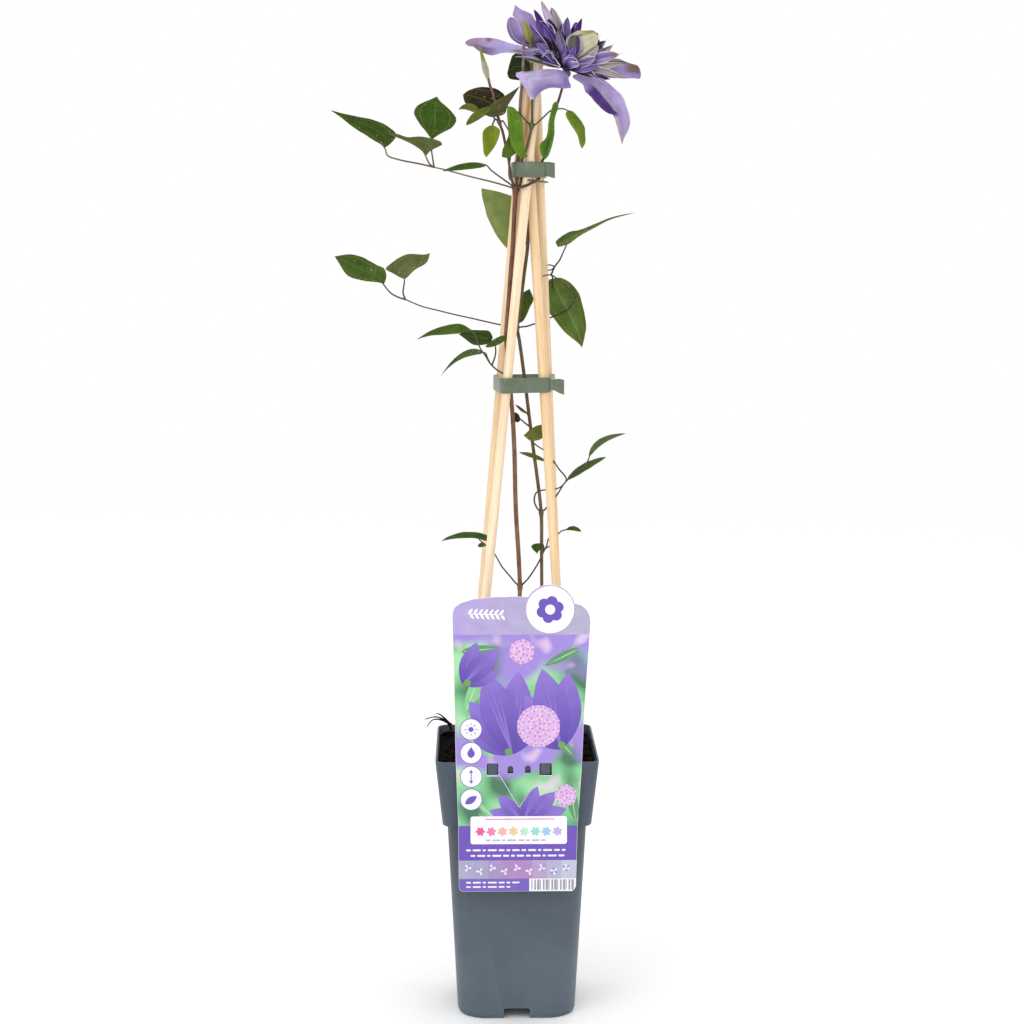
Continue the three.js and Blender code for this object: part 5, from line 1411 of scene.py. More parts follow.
def leaf(name, start, stalks, blades, stalk_tints=("#5a463c", "#6f6444")):
    """A leaf as one piece. Its first stalk starts in the skin of the node start."""
    skin = Skin()
    for number, points in enumerate(stalks):
        line = [sighted(*point) for point in points]
        if start and number == 0:
            line.insert(0, seat(*start, line[0]))
        line = smooth_line(line, 6)
        stalk = tube(line, lambda share, point: STALK_RADIUS * (1.15 - 0.3 * share), STALK_SIDES)
        skin.add(*stalk, tint=stem_tints(line, STALK_SIDES, *stalk_tints, blend=0.4), coat=1)
    for number, parts in enumerate(blades):
        blade(skin, *parts, seed=number * 0.37 + len(name) * 0.11)
    return make_piece(name, skin, [leaf_tissue, bark])


def on_stem(point, radius):
    """A place on a stem where a leaf starts without a swelling of its own."""
    return sighted(*point), radius


leaf("leaf_top_back", None, [
    [(7.5, 598.2, 12), (8.4, 603, 12.6), (6.5, 608.5, 13)],
], [
    (drawn((9.4, 607.5), [(9.6, 613), (7, 618.8), (2, 620.8), (-1.8, 619.8), (-3.8, 615)],
         (-5.5, 608.5), [(6, 604.4), (2, 604), (-2, 604.3), (-4.7, 605.6)], (12.8, 13, 13)),
     "#28361a", "#5a6638"),
])
leaf("leaf_bud_shoot_left", NODES["bud_shoot"], [
    [(-13.6, 580.3, -7.2), (-15.5, 583.5, -6.2), (-18.5, 588.5, -5.5)],
    [(-13.3, 579.8, -7.4), (-14.6, 577, -8), (-14.8, 574.5, -8.7), (-15, 571, -9)],
], [
    (drawn((-13.5, 583), [(-9, 589), (-7, 594.3), (-9, 596.5), (-12, 598.5), (-17, 599.6), (-22, 599.8),
         (-27, 598.8), (-31, 597)],
         (-33.6, 594.8), [(-19, 582), (-25, 583.2), (-29, 586), (-32.5, 590.5)], (-5.7, -5.5, -5)),
     "#2a2614", "#5c6a34", "#3c3420"),
    (drawn((-14, 575.8), [(-16.8, 575.6), (-20.7, 572.5), (-21.2, 568.5), (-20.8, 562), (-20.3, 558)],
         (-18.8, 555.7), [(-10.4, 573.3), (-10.3, 570.5), (-11.5, 566.5), (-13.5, 562.5), (-16.5, 558.5)],
         (-8.7, -9.2, -9)), "#7d8c1c", "#7a8a50"),
], ("#5a463c", "#6f6c2a"))
leaf("leaf_bud_shoot_right", NODES["bud_shoot"], [
    [(-8.3, 578.6, -10), (-6.5, 575.8, -10.8), (-4.4, 572, -11), (-4.6, 568, -11)],
], [
    (drawn((-3.6, 571.8), [(-5, 568.5), (-7, 564), (-8.5, 560.5)],
         (-9, 556.2), [(0, 566), (0.4, 559.6), (-2.5, 556.4), (-6, 555.4)], (-11, -11, -11)),
     "#4b6a1a", "#78885a"),
])
leaf("leaf_green_shoot_left", NODES["green_shoot"], [
    [(7.2, 578, -10.8), (3, 582.5, -10.8), (-4, 586.9, -10.9), (-15, 587.2, -11.4), (-23.5, 584.8, -12)],
    [(-3.4, 586.7, -11), (-3.6, 585, -12), (-3, 581.5, -12.9)],
], [
    (drawn((-4, 587.8), [(-5.5, 586), (-5.3, 578), (-4.5, 570), (-3, 563.5), (0, 558.5), (3, 555.8)],
         (7.4, 555.8), [(-1.5, 587), (1.5, 584), (3.5, 581), (4.3, 576.5), (4.5, 571), (5, 565),
         (6, 559.5)], (-12, -13.2, -12.6)), "#5f861f", "#7d9560"),
    (drawn((-20.5, 583), [(-18, 587), (-13, 591), (-7, 594.3), (-2, 597.3)],
         (2.7, 600.5), [(-16, 581), (-10, 581.8), (-7, 583), (-5.3, 587.5), (-1, 594.5)],
         (-11.6, -11.2, -11)), "#4a4a28", "#6a6a40"),
    (drawn((-23, 584.6), [(-25, 587.8), (-28, 589.4), (-32, 589.2), (-35, 587.5)],
         (-36.4, 585.7), [(-26, 583.8), (-29.5, 585), (-33, 585.8)], (-12, -12.2, -12)),
     "#66662a", "#7a7a50", "#7a5c34"),
    (narrow([(-15.5, 587.2, -11.5), (-24, 583, -12.7), (-31.5, 576, -13), (-25.5, 584.7, -12.6),
         (-21.5, 580.7, -12.8)]), "#5f6a1e", "#6f7a4a"),
], ("#5a463c", "#5c7426"))
leaf("leaf_stalk_bract", on_stem((17.4, 554.5, -4.2), 1.0), [
    [(18.3, 557, -8), (19.6, 562, -9.6), (21, 568, -10.2)],
], [
    (drawn((18.5, 554.5), [(17, 556), (15.5, 559), (15, 562), (15.5, 564.5), (17.5, 566.3), (19, 568),
         (20, 572), (20.5, 577), (21.5, 582), (22.5, 586), (24, 590)],
         (26.3, 590.8), [(20.5, 556.5), (22, 560), (23.5, 565), (24.5, 571), (24.5, 578), (25.5, 583),
         (27, 587)], (-7.6, -10.4, -12)),
     [(-1, "#5a8a1a"), (-0.15, "#4c7a18"), (0.1, "#55702e"), (0.5, "#4d7a1c"), (1, "#6a8f3a")], "#7a9a50"),
], ("#4c7a18", "#4c7a18"))
leaf("leaf_green_shoot_right", NODES["green_shoot"], [
    [(12.6, 576.6, -11.2), (17.5, 581, -10.6), (22, 585, -9.7), (27, 586.2, -9.5), (31, 586, -9.4),
     (35.5, 583, -9.4)],
], [
    (drawn((33, 585.4), [(31.5, 583.5), (32.5, 580), (35, 576), (38, 571.5), (39.5, 568.5), (40.5, 564)],
         (42, 561.2), [(36, 584.6), (40, 580.5), (42.5, 577), (43.8, 574.5), (44, 570), (44.3, 566),
         (43.5, 563.5)], (-9.4, -9.6, -9.4)),
     [(-1, "#8a9a30"), (-0.5, "#6c8420"), (0.5, "#5f7d1c"), (1, "#5a6a24")], "#80955a", "#8aa04a"),
], ("#6b5038", "#6d5a3a"))
leaf("leaf_upper_left", NODES["left_top"], [
    [(-4, 537.3, -6.4), (-15, 540.4, -8), (-30, 544, -9), (-45, 548, -9), (-52.5, 549.7, -9)],
    [(-52, 549.6, -9), (-60, 551.5, -9), (-75, 554.5, -9), (-81.5, 557, -9), (-83, 561, -9),
     (-86, 566, -9)],
    [(-52, 549.6, -9), (-52.6, 553.5, -9), (-53.5, 560, -8.6), (-53.4, 569, -8)],
    [(-52.5, 549.7, -9), (-55, 551.8, -9.8), (-57, 556, -10.8), (-59, 560, -11)],
], [
    (drawn((-83.5, 561.5), [(-79, 564.8), (-75.6, 569.8), (-80, 574.3), (-84, 576.8), (-88, 578.3),
         (-92, 579.8), (-100, 581.2), (-110, 583.3)],
         (-117.5, 585.3), [(-86, 564), (-90, 566.3), (-95, 569.5), (-103, 574.5), (-110, 580)],
         (-9, -8, -6)), "#35500f"),
    (drawn((-53.5, 566.8), [(-57, 571.8), (-60.5, 576), (-64, 581.5), (-64.8, 583.5), (-63, 587.5),
         (-59, 590), (-54, 592)],
         (-50, 593.8), [(-49.5, 569.5), (-46, 571.5), (-41, 574), (-38.5, 577), (-37.8, 580), (-40, 583.5),
         (-44, 587.5), (-48, 591)], (-8, -8, -7)), "#375511"),
    (drawn((-57, 556.8), [(-54, 560), (-49, 562.5), (-46.3, 564.2), (-47.5, 565.5), (-53, 567.5),
         (-60, 568.8), (-69, 568.5), (-75.5, 570.5)],
         (-82, 570.6), [(-60, 560), (-66, 564), (-75, 568)], (-10.9, -11, -10)), "#5a6338", "#4a7018"),
], ("#7a5a44", "#7d8c46"))
leaf("leaf_narrow_left", NODES["left_top"], [
    [(-3.6, 539, -3.2), (-10, 543.5, -4), (-16, 548, -5), (-19, 551, -5.5), (-25, 551, -6)],
], [
    (narrow([(-19, 550.8, -5.5), (-31, 550.7, -6), (-46.5, 547.3, -6), (-30, 552.6, -6), (-30, 548.3, -6)]),
     "#44601c"),
])
leaf("leaf_behind_stakes", on_stem((7.5, 500, 0.5), 1.18), [
    [(7.3, 501.5, 5), (6.6, 503.5, 9.3), (2, 508, 9.5)],
], [
    (drawn((5, 499.5), [(-1, 497.7), (-5.5, 498.3), (-7.5, 500.5), (-10.5, 504), (-14, 509.5),
         (-16.5, 514.5), (-18.5, 519), (-20, 525), (-21.5, 531)],
         (-22, 536.4), [(8, 503), (9.5, 512), (9, 522), (5, 529), (-3, 531.8), (-12, 534.5)],
         (9.4, 9.6, 9)), "#879a55", "#54782a"),
])
leaf("leaf_right_middle", NODES["right_middle"], [
    [(3.6, 448.4, 3.5), (7, 448.8, 8), (12.3, 450.5, 14.5), (17, 452, 18.8), (20.6, 453.4, 18.6),
     (23.4, 454.8, 17), (27, 456.1, 14.5), (32.6, 458.9, 11), (36.2, 462.5, 9), (38, 467.1, 7.5),
     (36.9, 469.9, 6), (34, 473.1, 4), (29.7, 476.7, 2), (25, 480.3, 0.4), (22.5, 481.7, 0), (20, 481.5, 0),
     (16.8, 480.8, 0)],
    [(22.6, 481.7, 0), (25, 487, -0.5), (28, 491, -1), (30.3, 496, -1.6), (33, 502, -2)],
    [(22.4, 481.6, 0), (23.4, 480.6, 6), (23.6, 479.6, 12), (23.2, 477.4, 17.4), (24.6, 472.5, 19.2)],
    [(25, 487, -0.5), (24.2, 487.2, 4), (23.4, 487.5, 9), (22.6, 487.8, 13), (20.4, 488, 17.4)],
    [(25, 487, -0.5), (24.2, 486, 4), (23.4, 485.2, 9), (22.6, 484.8, 13), (20.4, 484.6, 17.4)],
], [
    (drawn((27, 499.2), [(25.3, 502.5), (27, 504.5), (31, 507.3), (35, 509.3), (40, 510), (50, 513.8),
         (60, 517.8), (70, 520.2)],
         (76.5, 521), [(34, 501.3), (40, 505.8), (50, 511.3), (60, 516.5), (69, 519.2)], (-1.8, -3, -3)),
     [(-1, "#4f6428"), (-0.2, "#55682e"), (0.2, "#6f8040"), (1, "#5c6e34")], UNDERSIDE, "#8f7c50"),
    (drawn((21.5, 478.8), [(19.5, 475), (18.3, 469), (18.6, 463), (21, 457.8), (25, 453), (28, 449),
         (31, 445.5), (35, 442), (40, 438)],
         (42.7, 435.2), [(28, 480), (33, 478), (36, 475.5), (39, 472), (41.5, 467), (43.5, 460),
         (45.3, 449), (44.5, 443)], (18, 21, 21)),
     [(-1, "#5f7a30"), (-0.1, "#587430"), (0.02, "#788c4c"), (0.2, "#5c7a34"), (1, "#4f6c2a")]),
], ("#33261e", "#6a5a50"))
leaf("leaf_between_stakes", NODES["right_middle"], [
    [(1.4, 449.8, 2.6), (3, 453.5, 3.2), (4.4, 457.5, 3.3)],
], [
    (drawn((2.5, 451), [(2, 458), (2.8, 465), (4.5, 470)],
         (8.8, 472.8), [(4.5, 452), (7, 456), (9, 461), (11.3, 466)], (3, 3.2, 3)), "#4c6624"),
])
leaf("leaf_middle_left", NODES["right_middle"], [
    [(-0.4, 448.4, 3.2), (-1.7, 448.6, 6.4), (-2.4, 448.9, 9.6), (-3.2, 449, 12), (-5, 449.1, 13.4),
     (-7.5, 449.4, 13.8), (-12, 450.2, 12.9), (-20, 452, 10), (-30, 454.3, 6), (-40, 456.5, 3),
     (-50, 459, 0), (-60, 461.5, -2), (-71.5, 466.3, -4)],
    [(-70.8, 466, -4), (-75, 467.3, -4.4), (-80, 470, -5), (-83.5, 474, -5), (-87.5, 479.5, -5)],
    [(-70.8, 466, -4), (-72.2, 470, -5), (-71.5, 476, -7), (-70.8, 482, -8)],
], [
    (drawn((-84.4, 475.8), [(-82.8, 480), (-84, 485.6), (-89, 488), (-97, 492.5), (-106, 494.7)],
         (-115.8, 493.4), [(-88, 476.8), (-98, 478), (-108, 481.5), (-113, 489)], (-5, -5, -4)), "#435f20"),
    (drawn((-71.6, 479), [(-73.5, 479.8), (-79, 482.8), (-83.4, 485.4), (-78, 490.3), (-70, 494.7),
         (-58, 494.6)], (-54.7, 495.5), [(-69.5, 480), (-65, 484.5), (-57, 489.5)], (-7.8, -8.2, -8)),
     "#62693e", "#4f7022"),
])
leaf("leaf_strap_left", None, [
    [(-6.4, 417.4, -8.4), (-8.5, 418.7, -8.3), (-11, 420, -8.3), (-16, 424.3, -8.6), (-20, 430.5, -8.8),
     (-22.5, 434, -9), (-25.5, 441, -9), (-27, 445, -9), (-33, 447, -9)],
    [(-15.4, 423.8, -8.6), (-14, 427.5, -9.2), (-13, 431.5, -10), (-12.8, 437.5, -10.6), (-11, 439, -10.6)],
    [(-16.6, 425, -8.6), (-18.3, 428.5, -9.4), (-19.6, 431.6, -9.8), (-24, 432, -10)],
], [
    (drawn((-28, 446.2), [(-35, 450.3), (-45, 449.4), (-55, 446)],
         (-64, 440.3), [(-37, 444.2), (-46, 443.4), (-55, 442.8)], (-9, -9, -8)), "#44611a"),
    (drawn((-36.8, 443.8), [(-30, 446.3), (-24, 446.4), (-17, 445.7)],
         (-14.7, 441.5), [(-33, 441), (-28, 437.3), (-24, 436.7), (-17, 438)], (-8.6, -8.8, -8.8)),
     "#2c450e", "#6d8050"),
    (narrow([(-19.5, 435.8, -10.3), (-13, 438.6, -10.6), (-6, 441.8, -10.7), (-11.5, 441.9, -10.6),
         (-12, 436.7, -10.6)], widest=0.55), "#44601e"),
    (narrow([(-21.5, 431.8, -10), (-36, 429.9, -10), (-48.5, 416.7, -9), (-31.5, 433.6, -10),
         (-33, 428.6, -10)], widest=0.4), "#4c6234"),
])
leaf("leaf_olive", NODES["right_low"], [
    [(19.5, 330.6, 0), (22.5, 334.5, -0.5), (27, 340, -2), (30, 345, -3), (32.8, 349.8, -3),
     (28, 356.5, -3), (24.5, 361.5, -2.8), (18, 368.8, -2.8), (14, 371.5, -3), (11.3, 374, -3.4),
     (10.8, 377.5, -3.6)],
    [(25.3, 360.5, -2.8), (22, 361.6, -3.2), (17.5, 362.3, -3.4)],
], [
    (drawn((18, 381.2), [(17, 385.3), (10.5, 383.2)],
         (5, 378.5), [(17.5, 377), (10, 374.7)], (-3.6, -3.8, -3.6)), "#6c6f30", "#6a7a3a"),
    (narrow([(19.5, 361.6, -3.3), (11, 364.9, -3.5), (2, 367.3, -3.5), (12, 366.4, -3.5),
         (11.4, 363.4, -3.5)], widest=0.4), "#5d6a28", "#7a8450"),
])
leaf("leaf_small_dark", on_stem((9.2, 384, 0), 1.12), [
    [(7, 385.6, -1.6), (5, 387.2, -2.4), (2.6, 389.2, -3.2), (1, 389.8, -3.4)],
], [
    (narrow([(3, 388.8, -3.2), (0, 390.5, -3.5), (-3.6, 391.7, -3.5), (0.3, 393.2, -3.5),
         (-0.3, 387.2, -3.5)]), "#2c3816", "#4f5a30"),
])
leaf("leaf_thin_dry", on_stem((8.5, 390.5, 0), 1.12), [
    [(7.6, 392, -2), (6.4, 393.6, -2.6), (4.5, 394.9, -2.9)],
], [
    (narrow([(7, 392.8, -2.4), (4, 395.2, -3), (-0.6, 398.6, -3.2), (3.8, 396.3, -3), (3.2, 394.2, -3)],
         widest=0.4), "#7a6338", "#8a7448", "#a08858"),
])
leaf("leaf_lower_right", NODES["right_low"], [
    [(13.9, 330.9, -2.6), (12.2, 334.5, -3.6), (12.2, 338.5, -4), (13.5, 341.3, -5), (16, 342.4, -6),
     (20, 343, -6.5), (27, 343.8, -7), (30, 345.5, -7), (33, 349, -7), (37, 352, -7.2)],
    [(32.6, 348.5, -7), (36, 351.6, -8), (40, 354.5, -8.8), (44, 357.5, -9), (46.8, 362, -9),
     (48.2, 366.5, -9)],
], [
    (narrow([(33.5, 349.4, -7), (45, 357.7, -7.5), (58.5, 364.3, -8), (42, 359, -7.5), (46, 355.8, -7.6)]),
     "#4a6532"),
    (narrow([(47.3, 364.5, -9), (55, 374.3, -9), (71, 379.5, -8), (53, 375.3, -9), (56, 372.4, -9)]),
     "#5a6e48"),
])
leaf("leaf_lower_left", NODES["left_low"], [
    [(0, 281.6, -5.6), (-4, 286.4, -7), (-9, 292.5, -8), (-14, 301, -8), (-19.5, 306.5, -8),
     (-24, 310.5, -8)],
], [
    (drawn((-14.5, 309.5), [(-14.6, 312), (-19, 313.6), (-24, 315), (-30, 315.6), (-36, 315.2), (-45, 312)],
         (-49, 309), [(-19, 309.4), (-24, 310.8), (-29, 311.4), (-38, 311.2), (-46, 310)], (-8, -8, -7)),
     "#3f5c22"),
    (narrow([(-19.8, 307, -8), (-22.2, 307.2, -8.2), (-24.8, 306.2, -8), (-22.2, 308.6, -8),
         (-22, 305.4, -8.4)], widest=0.5), "#44601e"),
])
leaf("leaf_lower_twig", NODES["left_low"], [
    [(5, 281.3, -5.4), (8, 284.5, -5.6), (13, 292, -6), (16, 297.5, -6), (18.5, 303, -6), (20, 306, -6),
     (21.8, 311.5, -6), (27.5, 314, -5.6), (30, 316, -5.2), (35, 317.2, -5)],
    [(18.3, 302.6, -6), (18.1, 305.5, -6), (17.2, 307.6, -6.2), (14.5, 306.3, -6.4)],
    [(19.2, 304.4, -6), (22.4, 306.2, -6.4)],
], [
    (drawn((17.6, 307.8), [(14.5, 307.9), (11.2, 307.2), (9.9, 306), (11, 304)],
         (14, 300.9), [(17.8, 306), (16.5, 304.2), (15, 302.8)], (-6.2, -6.4, -6.4)), "#385417", "#6a7a44"),
    (narrow([(32.5, 316.8, -5.1), (37.5, 317.7, -5), (42.6, 315.6, -5), (37.8, 319.2, -5), (37, 316.2, -5)],
         widest=0.5), "#48641e"),
])
print("leaves grown")

# %% [markdown]
# ## Petal tissue
# A petal is thin and velvety: tiny cells scatter light, so it has no gloss but a soft sheen, and
# light passes through it. Fine veins run along it, three of them stronger. Nursery flowers dry at
# the edges, which shows as a thin cream or brown rim. The fine veins are about 0.6 mm apart.

# %% Clematis petal, velvety
petal_tissue, add = start_material(
    "clematis petal, velvety", IOR=1.4, Roughness=0.6, Subsurface_Weight=0.1, Subsurface_Scale=0.001,
    Specular_IOR_Level=0.2, Sheen_Weight=0.08, Sheen_Roughness=0.4)
place = add("Attribute", attribute_name="place").outputs["Vector"]
tint = add("Attribute", attribute_name="tint")
space = add("TexCoord").outputs["Object"]
spot = add("SeparateXYZ", {"Vector": place})
stretched = add("Mapping", {"Vector": place, "Scale": (0.7, 15.0, 9.0)})
streak = add("TexNoise", {"Vector": stretched, "Scale": 1.6, "Detail": 3.0})
streak_tone = add("ValToRGB", {"Fac": streak}, stops=[(0.34, "#aca6c4"), (0.60, 1)])
streaked = add("MixRGB", {"Fac": 0.55, "Color1": tint, "Color2": streak_tone}, blend_type="MULTIPLY")
from_bar = add("Math", {0: spot.outputs["Y"], 1: 0.22}, operation="PINGPONG")
bar_line = add("ValToRGB", {"Fac": from_bar}, stops=[(0.0, 1), (0.03, 0)])
bar_fade = add("Math", {0: bar_line, 1: 0.07}, operation="MULTIPLY")
barred = add("MixRGB", {"Fac": bar_fade, "Color1": streaked, "Color2": "#6f62a8"})
cloud = add("TexNoise", {"Vector": space, "Scale": per_mm(5), "Detail": 5.0, "Roughness": 0.65})
edge = add("Math", {0: spot.outputs["Y"]}, operation="ABSOLUTE")
edge_rough = add("Math", {0: edge, 1: cloud}, operation="MULTIPLY")
rim = add("ValToRGB", {"Fac": edge_rough}, stops=[(0.58, 0), (0.64, 0.7)])
wide_cloud = add("TexNoise", {"Vector": space, "Scale": per_mm(11), "Detail": 3.0})
wide_tone = add("ValToRGB", {"Fac": wide_cloud}, stops=[(0.36, "#dfdde2"), (0.58, 1)])
clouded = add("MixRGB", {"Fac": 1.0, "Color1": barred, "Color2": wide_tone}, blend_type="MULTIPLY")
rimmed = add("MixRGB", {"Fac": rim, "Color1": clouded, "Color2": "#d2c8cc"})
brown_noise = add("Math", {0: spot.outputs["X"], 1: cloud}, operation="MULTIPLY")
brown = add("ValToRGB", {"Fac": brown_noise}, stops=[(0.62, 0), (0.70, 0.7)])
browned = add("MixRGB", {"Fac": brown, "Color1": rimmed, "Color2": "#8a6f58"})
add("HueSaturation", {"Color": browned, "Hue": 0.512, "Saturation": 0.92}, feeds="Base Color")
height = add("Math", {0: streak, 1: cloud}, operation="ADD")
add("Bump", {"Height": height, "Strength": 0.5, "Distance": 0.3 * MM}, feeds="Normal")

# %% [markdown]
# ## The buds
# A bud is a pointed spindle of four closed sepals, green at the tip and felted with pale hairs
# below. Its section is a rounded square with a groove at each seam, which a plain spindle lacks.
# Short fine hairs stand on the felted part as real tapering tubes.

# %% Shape the buds
BUD_PROFILE = [(0.0, 0.35), (0.05, 0.6), (0.12, 0.84), (0.22, 1.0), (0.34, 0.98), (0.46, 0.84), (0.58, 0.66),
               (0.7, 0.5), (0.82, 0.36), (0.92, 0.2), (0.98, 0.08)]
BUD_SIDES = 32
BUD_HAIRS = 150


def bud(name, base, tip, radius, felt, green, felt_end):
    """A bud whose felt ends at a share of its length."""
    axis = tip - base
    side = Vector((0, 1, 0)).cross(axis).normalized()
    depth = axis.cross(side).normalized()
    skin = Skin()
    rings, tints = [[base - axis * 0.03]], ["#6f5f50"]
    for share, girth in BUD_PROFILE:
        ring = []
        for k in range(BUD_SIDES):
            angle = math.tau * k / BUD_SIDES + share * 0.5
            seam = 1 - 0.13 * abs(math.cos(2 * (angle - share * 0.5))) ** 8
            reach = radius * girth * seam
            spot = base + axis * share + side * (reach * math.cos(angle))
            ring.append(spot + depth * (reach * math.sin(angle)))
            tone = between(felt, green, (share - felt_end) / 0.15)
            # painted shade: the tint darkens towards the bottom of each seam's groove
            tints.append(between(tone, "#6a5a48", (0.93 - seam) / 0.1))
        rings.append(ring)
    rings.append([tip])
    tints.append(green)
    skin.add(*loft(rings), tint=tints)
    for _ in range(BUD_HAIRS):
        share, angle = chance.uniform(0.02, felt_end), chance.uniform(0, math.tau)
        girth = radius * 0.95 * min(1, 0.55 + share * 1.6) * (1 if share < 0.4 else 1.35 - share)
        out = side * math.cos(angle) + depth * math.sin(angle)
        root = base + axis * share + out * girth
        along_bud = axis.normalized()
        hair = [root, root + out * 0.25 + along_bud * 0.35, root + out * 0.3 + along_bud * 0.8]
        skin.add(*tube(hair, lambda along, point: 0.05 * (1.1 - along), 3), tint="#e6e6cf")
    return make_piece(name, skin, [bark])


bud("flower_bud_left", sighted(-17.6, 604.6, -8), sighted(-23.2, 626, -8), 2, "#d6d3c0", "#a3a838", 0.46)
bud("flower_bud_middle", sighted(9.4, 627.6, -2), sighted(4.7, 642.2, -2), 2.6, "#aeb04a", "#b4c02c", 0.25)
print("buds: 2")

# %% [markdown]
# ## The sepals
# The flower is a double one. Six long outer sepals spread from a small grey-violet receptacle, and a
# full rosette of narrower petals stands in front of them. Sepals are lavender, with paler edges,
# a stronger tone on the side that is turned away, and dried brown patches. Each is the same kind
# of blade as a leaf, with stronger waves, a hollow along the midrib, and tints that follow the
# place on the blade.

# %% Spread the sepals
SEPAL_LOOK = {"thickness": 0.3, "puff": 0.1, "ripple": 0.5, "waves": 2.5, "cup": 1.2, "ragged": 0.03}
RIM_PALE = "#dcd6ea"
DRIED = "#8a6a50"
receptacle_centre = sighted(32, 608.2, -8)
RECEPTACLE_RADIUS = 2.8

heart = Skin()
heart.add(*ball(receptacle_centre, RECEPTACLE_RADIUS, 1, 20), tint="#7c7188")
make_piece("flower_receptacle", heart, [bark])


def sepal(name, seed, *parts):
    skin = Skin()
    blade(skin, *parts, look=SEPAL_LOOK, seed=seed)
    return make_piece(name, skin, [petal_tissue])


def patch(tone, other, u, w, centre, size):
    """Turns a tone into another within a soft patch of the blade, with an uneven edge."""
    uneven = 0.8 * noise.noise(Vector((u * 22, w * 5, 0)))
    distance = math.hypot((u - centre[0]) / size[0], (w - centre[1]) / size[1])
    return between(other, tone, distance * 2 - 1 + uneven)


def left_tint(u, w):
    tone = between("#a9a4dc", "#b7a4d8", (u - 0.62) / 0.2)
    tone = between(tone, "#75698e", min((u - 0.62) / 0.12, (w + 0.05) / 0.3))
    tone = patch(tone, DRIED, u, w, (0.47, 0.4), (0.04, 0.6))
    return patch(tone, DRIED, u, w, (0.745, -0.9), (0.025, 0.5))


def upper_tint(u, w):
    tone = between("#a79bd6", "#bfa9d8", (w + 0.2) / 0.5)
    return between(tone, "#6a5a90", (0.62 - u) / 0.2)


def back_tint(u, w):
    tone = between("#a196cc", "#8c80b8", (w + 0.6) / 1.2)
    tone = between(tone, "#4a3d70", (0.72 - u) / 0.2)
    tone = between(tone, RIM_PALE, (-w - 0.86) / 0.06)
    return patch(tone, RIM_PALE, 0, w, (0, 0.5), (1, 0.05))


def front_tint(u, w):
    tone = between("#b6add2", "#8074b4", (w + 0.2) / 0.9)
    tone = between(tone, "#8f82bc", (0.35 - u) / 0.3)
    tone = between(tone, "#c0b0de", min((u - 0.5) / 0.15, (-w - 0.45) / 0.2))
    # painted shade: a dark round patch at one edge, where the sepal rolls under
    tone = patch(tone, "#4d4364", u, w, (0.47, -1), (0.09, 0.16))
    return between(tone, "#d9d2dc", (u - 0.93) / 0.05)


def hanging_tint(u, w):
    midrib = -0.15 + 0.9 * (u - 0.25)
    tone = between("#aba0d0", "#9c90c8", (w + 1) / 1.2)
    if u > 0.66:
        return between(tone, "#c9bcc4", (w - 0.45) / 0.12)
    tone = between(tone, "#a99ca8", 1 - abs(w - midrib) / 0.22)
    return between(tone, "#3c2a78", min((w - midrib - 0.12) / 0.1, (u - 0.22) / 0.08))


def right_tint(u, w):
    tone = between("#a89fd0", "#8f84c4", (u - 0.6) / 0.2)
    uneven = 0.08 * noise.noise(Vector((u * 14, w * 6, 3)))
    inside = min((u - 0.68 + uneven) / 0.1, (0.94 - u + uneven) / 0.05, (0.35 - w) / 0.4)
    return between(tone, "#7d6552", inside)


sepal("sepal_left", 0.3,
      drawn((28, 611), [(16, 618.5), (5, 624.9), (3, 625.4), (-3, 626.6), (-12, 629.4), (-20, 630.2),
          (-29.5, 629.3)],
          (-32.3, 627), [(15, 614.5), (5, 619.6), (-3, 620.6), (-8, 620.9), (-12, 619.7), (-15, 619.1),
          (-20, 620.4), (-24, 622.2), (-27, 624.7), (-30, 625)], (-8, -5.6, -4)),
      left_tint, "#b9aede", "#9a8aa0")
sepal("sepal_upper_left", 0.9,
      drawn((29, 612), [(20, 627), (14.5, 637), (11.5, 642), (10, 644.6), (6, 646.6), (3, 648)],
          (-0.7, 650.7), [(24, 614), (12, 624), (5, 631), (3, 635.5), (1, 640), (-0.5, 642.5), (-2.2, 644),
          (-1.2, 648)], (-5, 4, 3)), upper_tint, "#b9aede")
sepal("sepal_left_back", 1.7,
      drawn((29, 612), [(18, 624), (8, 630), (4, 633.5), (3, 636.5), (0.5, 641.2), (-1.3, 642.9)],
          (-3.5, 643.2), [(16, 617.5), (6, 625), (3, 625.7), (0, 627.3), (-3, 629.5), (-4.4, 632),
          (-5.6, 635), (-5.8, 638.5), (-5.2, 641.5)], (-4, 8, 8.5)), back_tint, "#b9aede")
sepal("sepal_front", 2.2,
      drawn((31, 609.5), [(22, 610.8), (14, 610.3), (5, 609.2), (0, 608.5), (-0.7, 607), (2, 605),
          (3, 602.5), (5, 600), (7, 597), (8, 594)],
          (10, 592), [(33, 606.5), (33.4, 603), (34.8, 599.2), (33, 598.8), (28, 598.8), (22, 599),
          (17, 597.5), (14.5, 595.5), (12.5, 593)], (-11, -14.5, -14)), front_tint, "#a79bd0")
sepal("sepal_right_hanging", 2.9,
      drawn((36, 607), [(40, 608.5), (46, 607.5), (55, 604.5), (60, 601), (64, 597.5), (67.5, 594.5),
          (70, 588), (72, 582), (72.5, 577), (71, 572), (69, 568.5)],
          (67.5, 563.8), [(36, 605.5), (40, 603), (43, 600.5), (43.3, 597.5), (46, 595), (50, 590.5),
          (54, 586.5), (58, 583.5), (61.5, 582.5), (63.5, 577), (65, 572)], (-9, -10, -8)),
      hanging_tint, "#8f83c8", "#a99aa8")
sepal("sepal_right", 3.4,
      drawn((38, 610), [(50, 613.5), (58, 616), (64, 617.5), (70, 615.4), (74, 614), (77, 613),
          (78.3, 611)],
          (79.2, 608), [(50, 606.5), (60, 605.4), (68, 605), (74, 605.3), (78.5, 605)], (-9, -6, -5)),
      right_tint, "#b9aede")

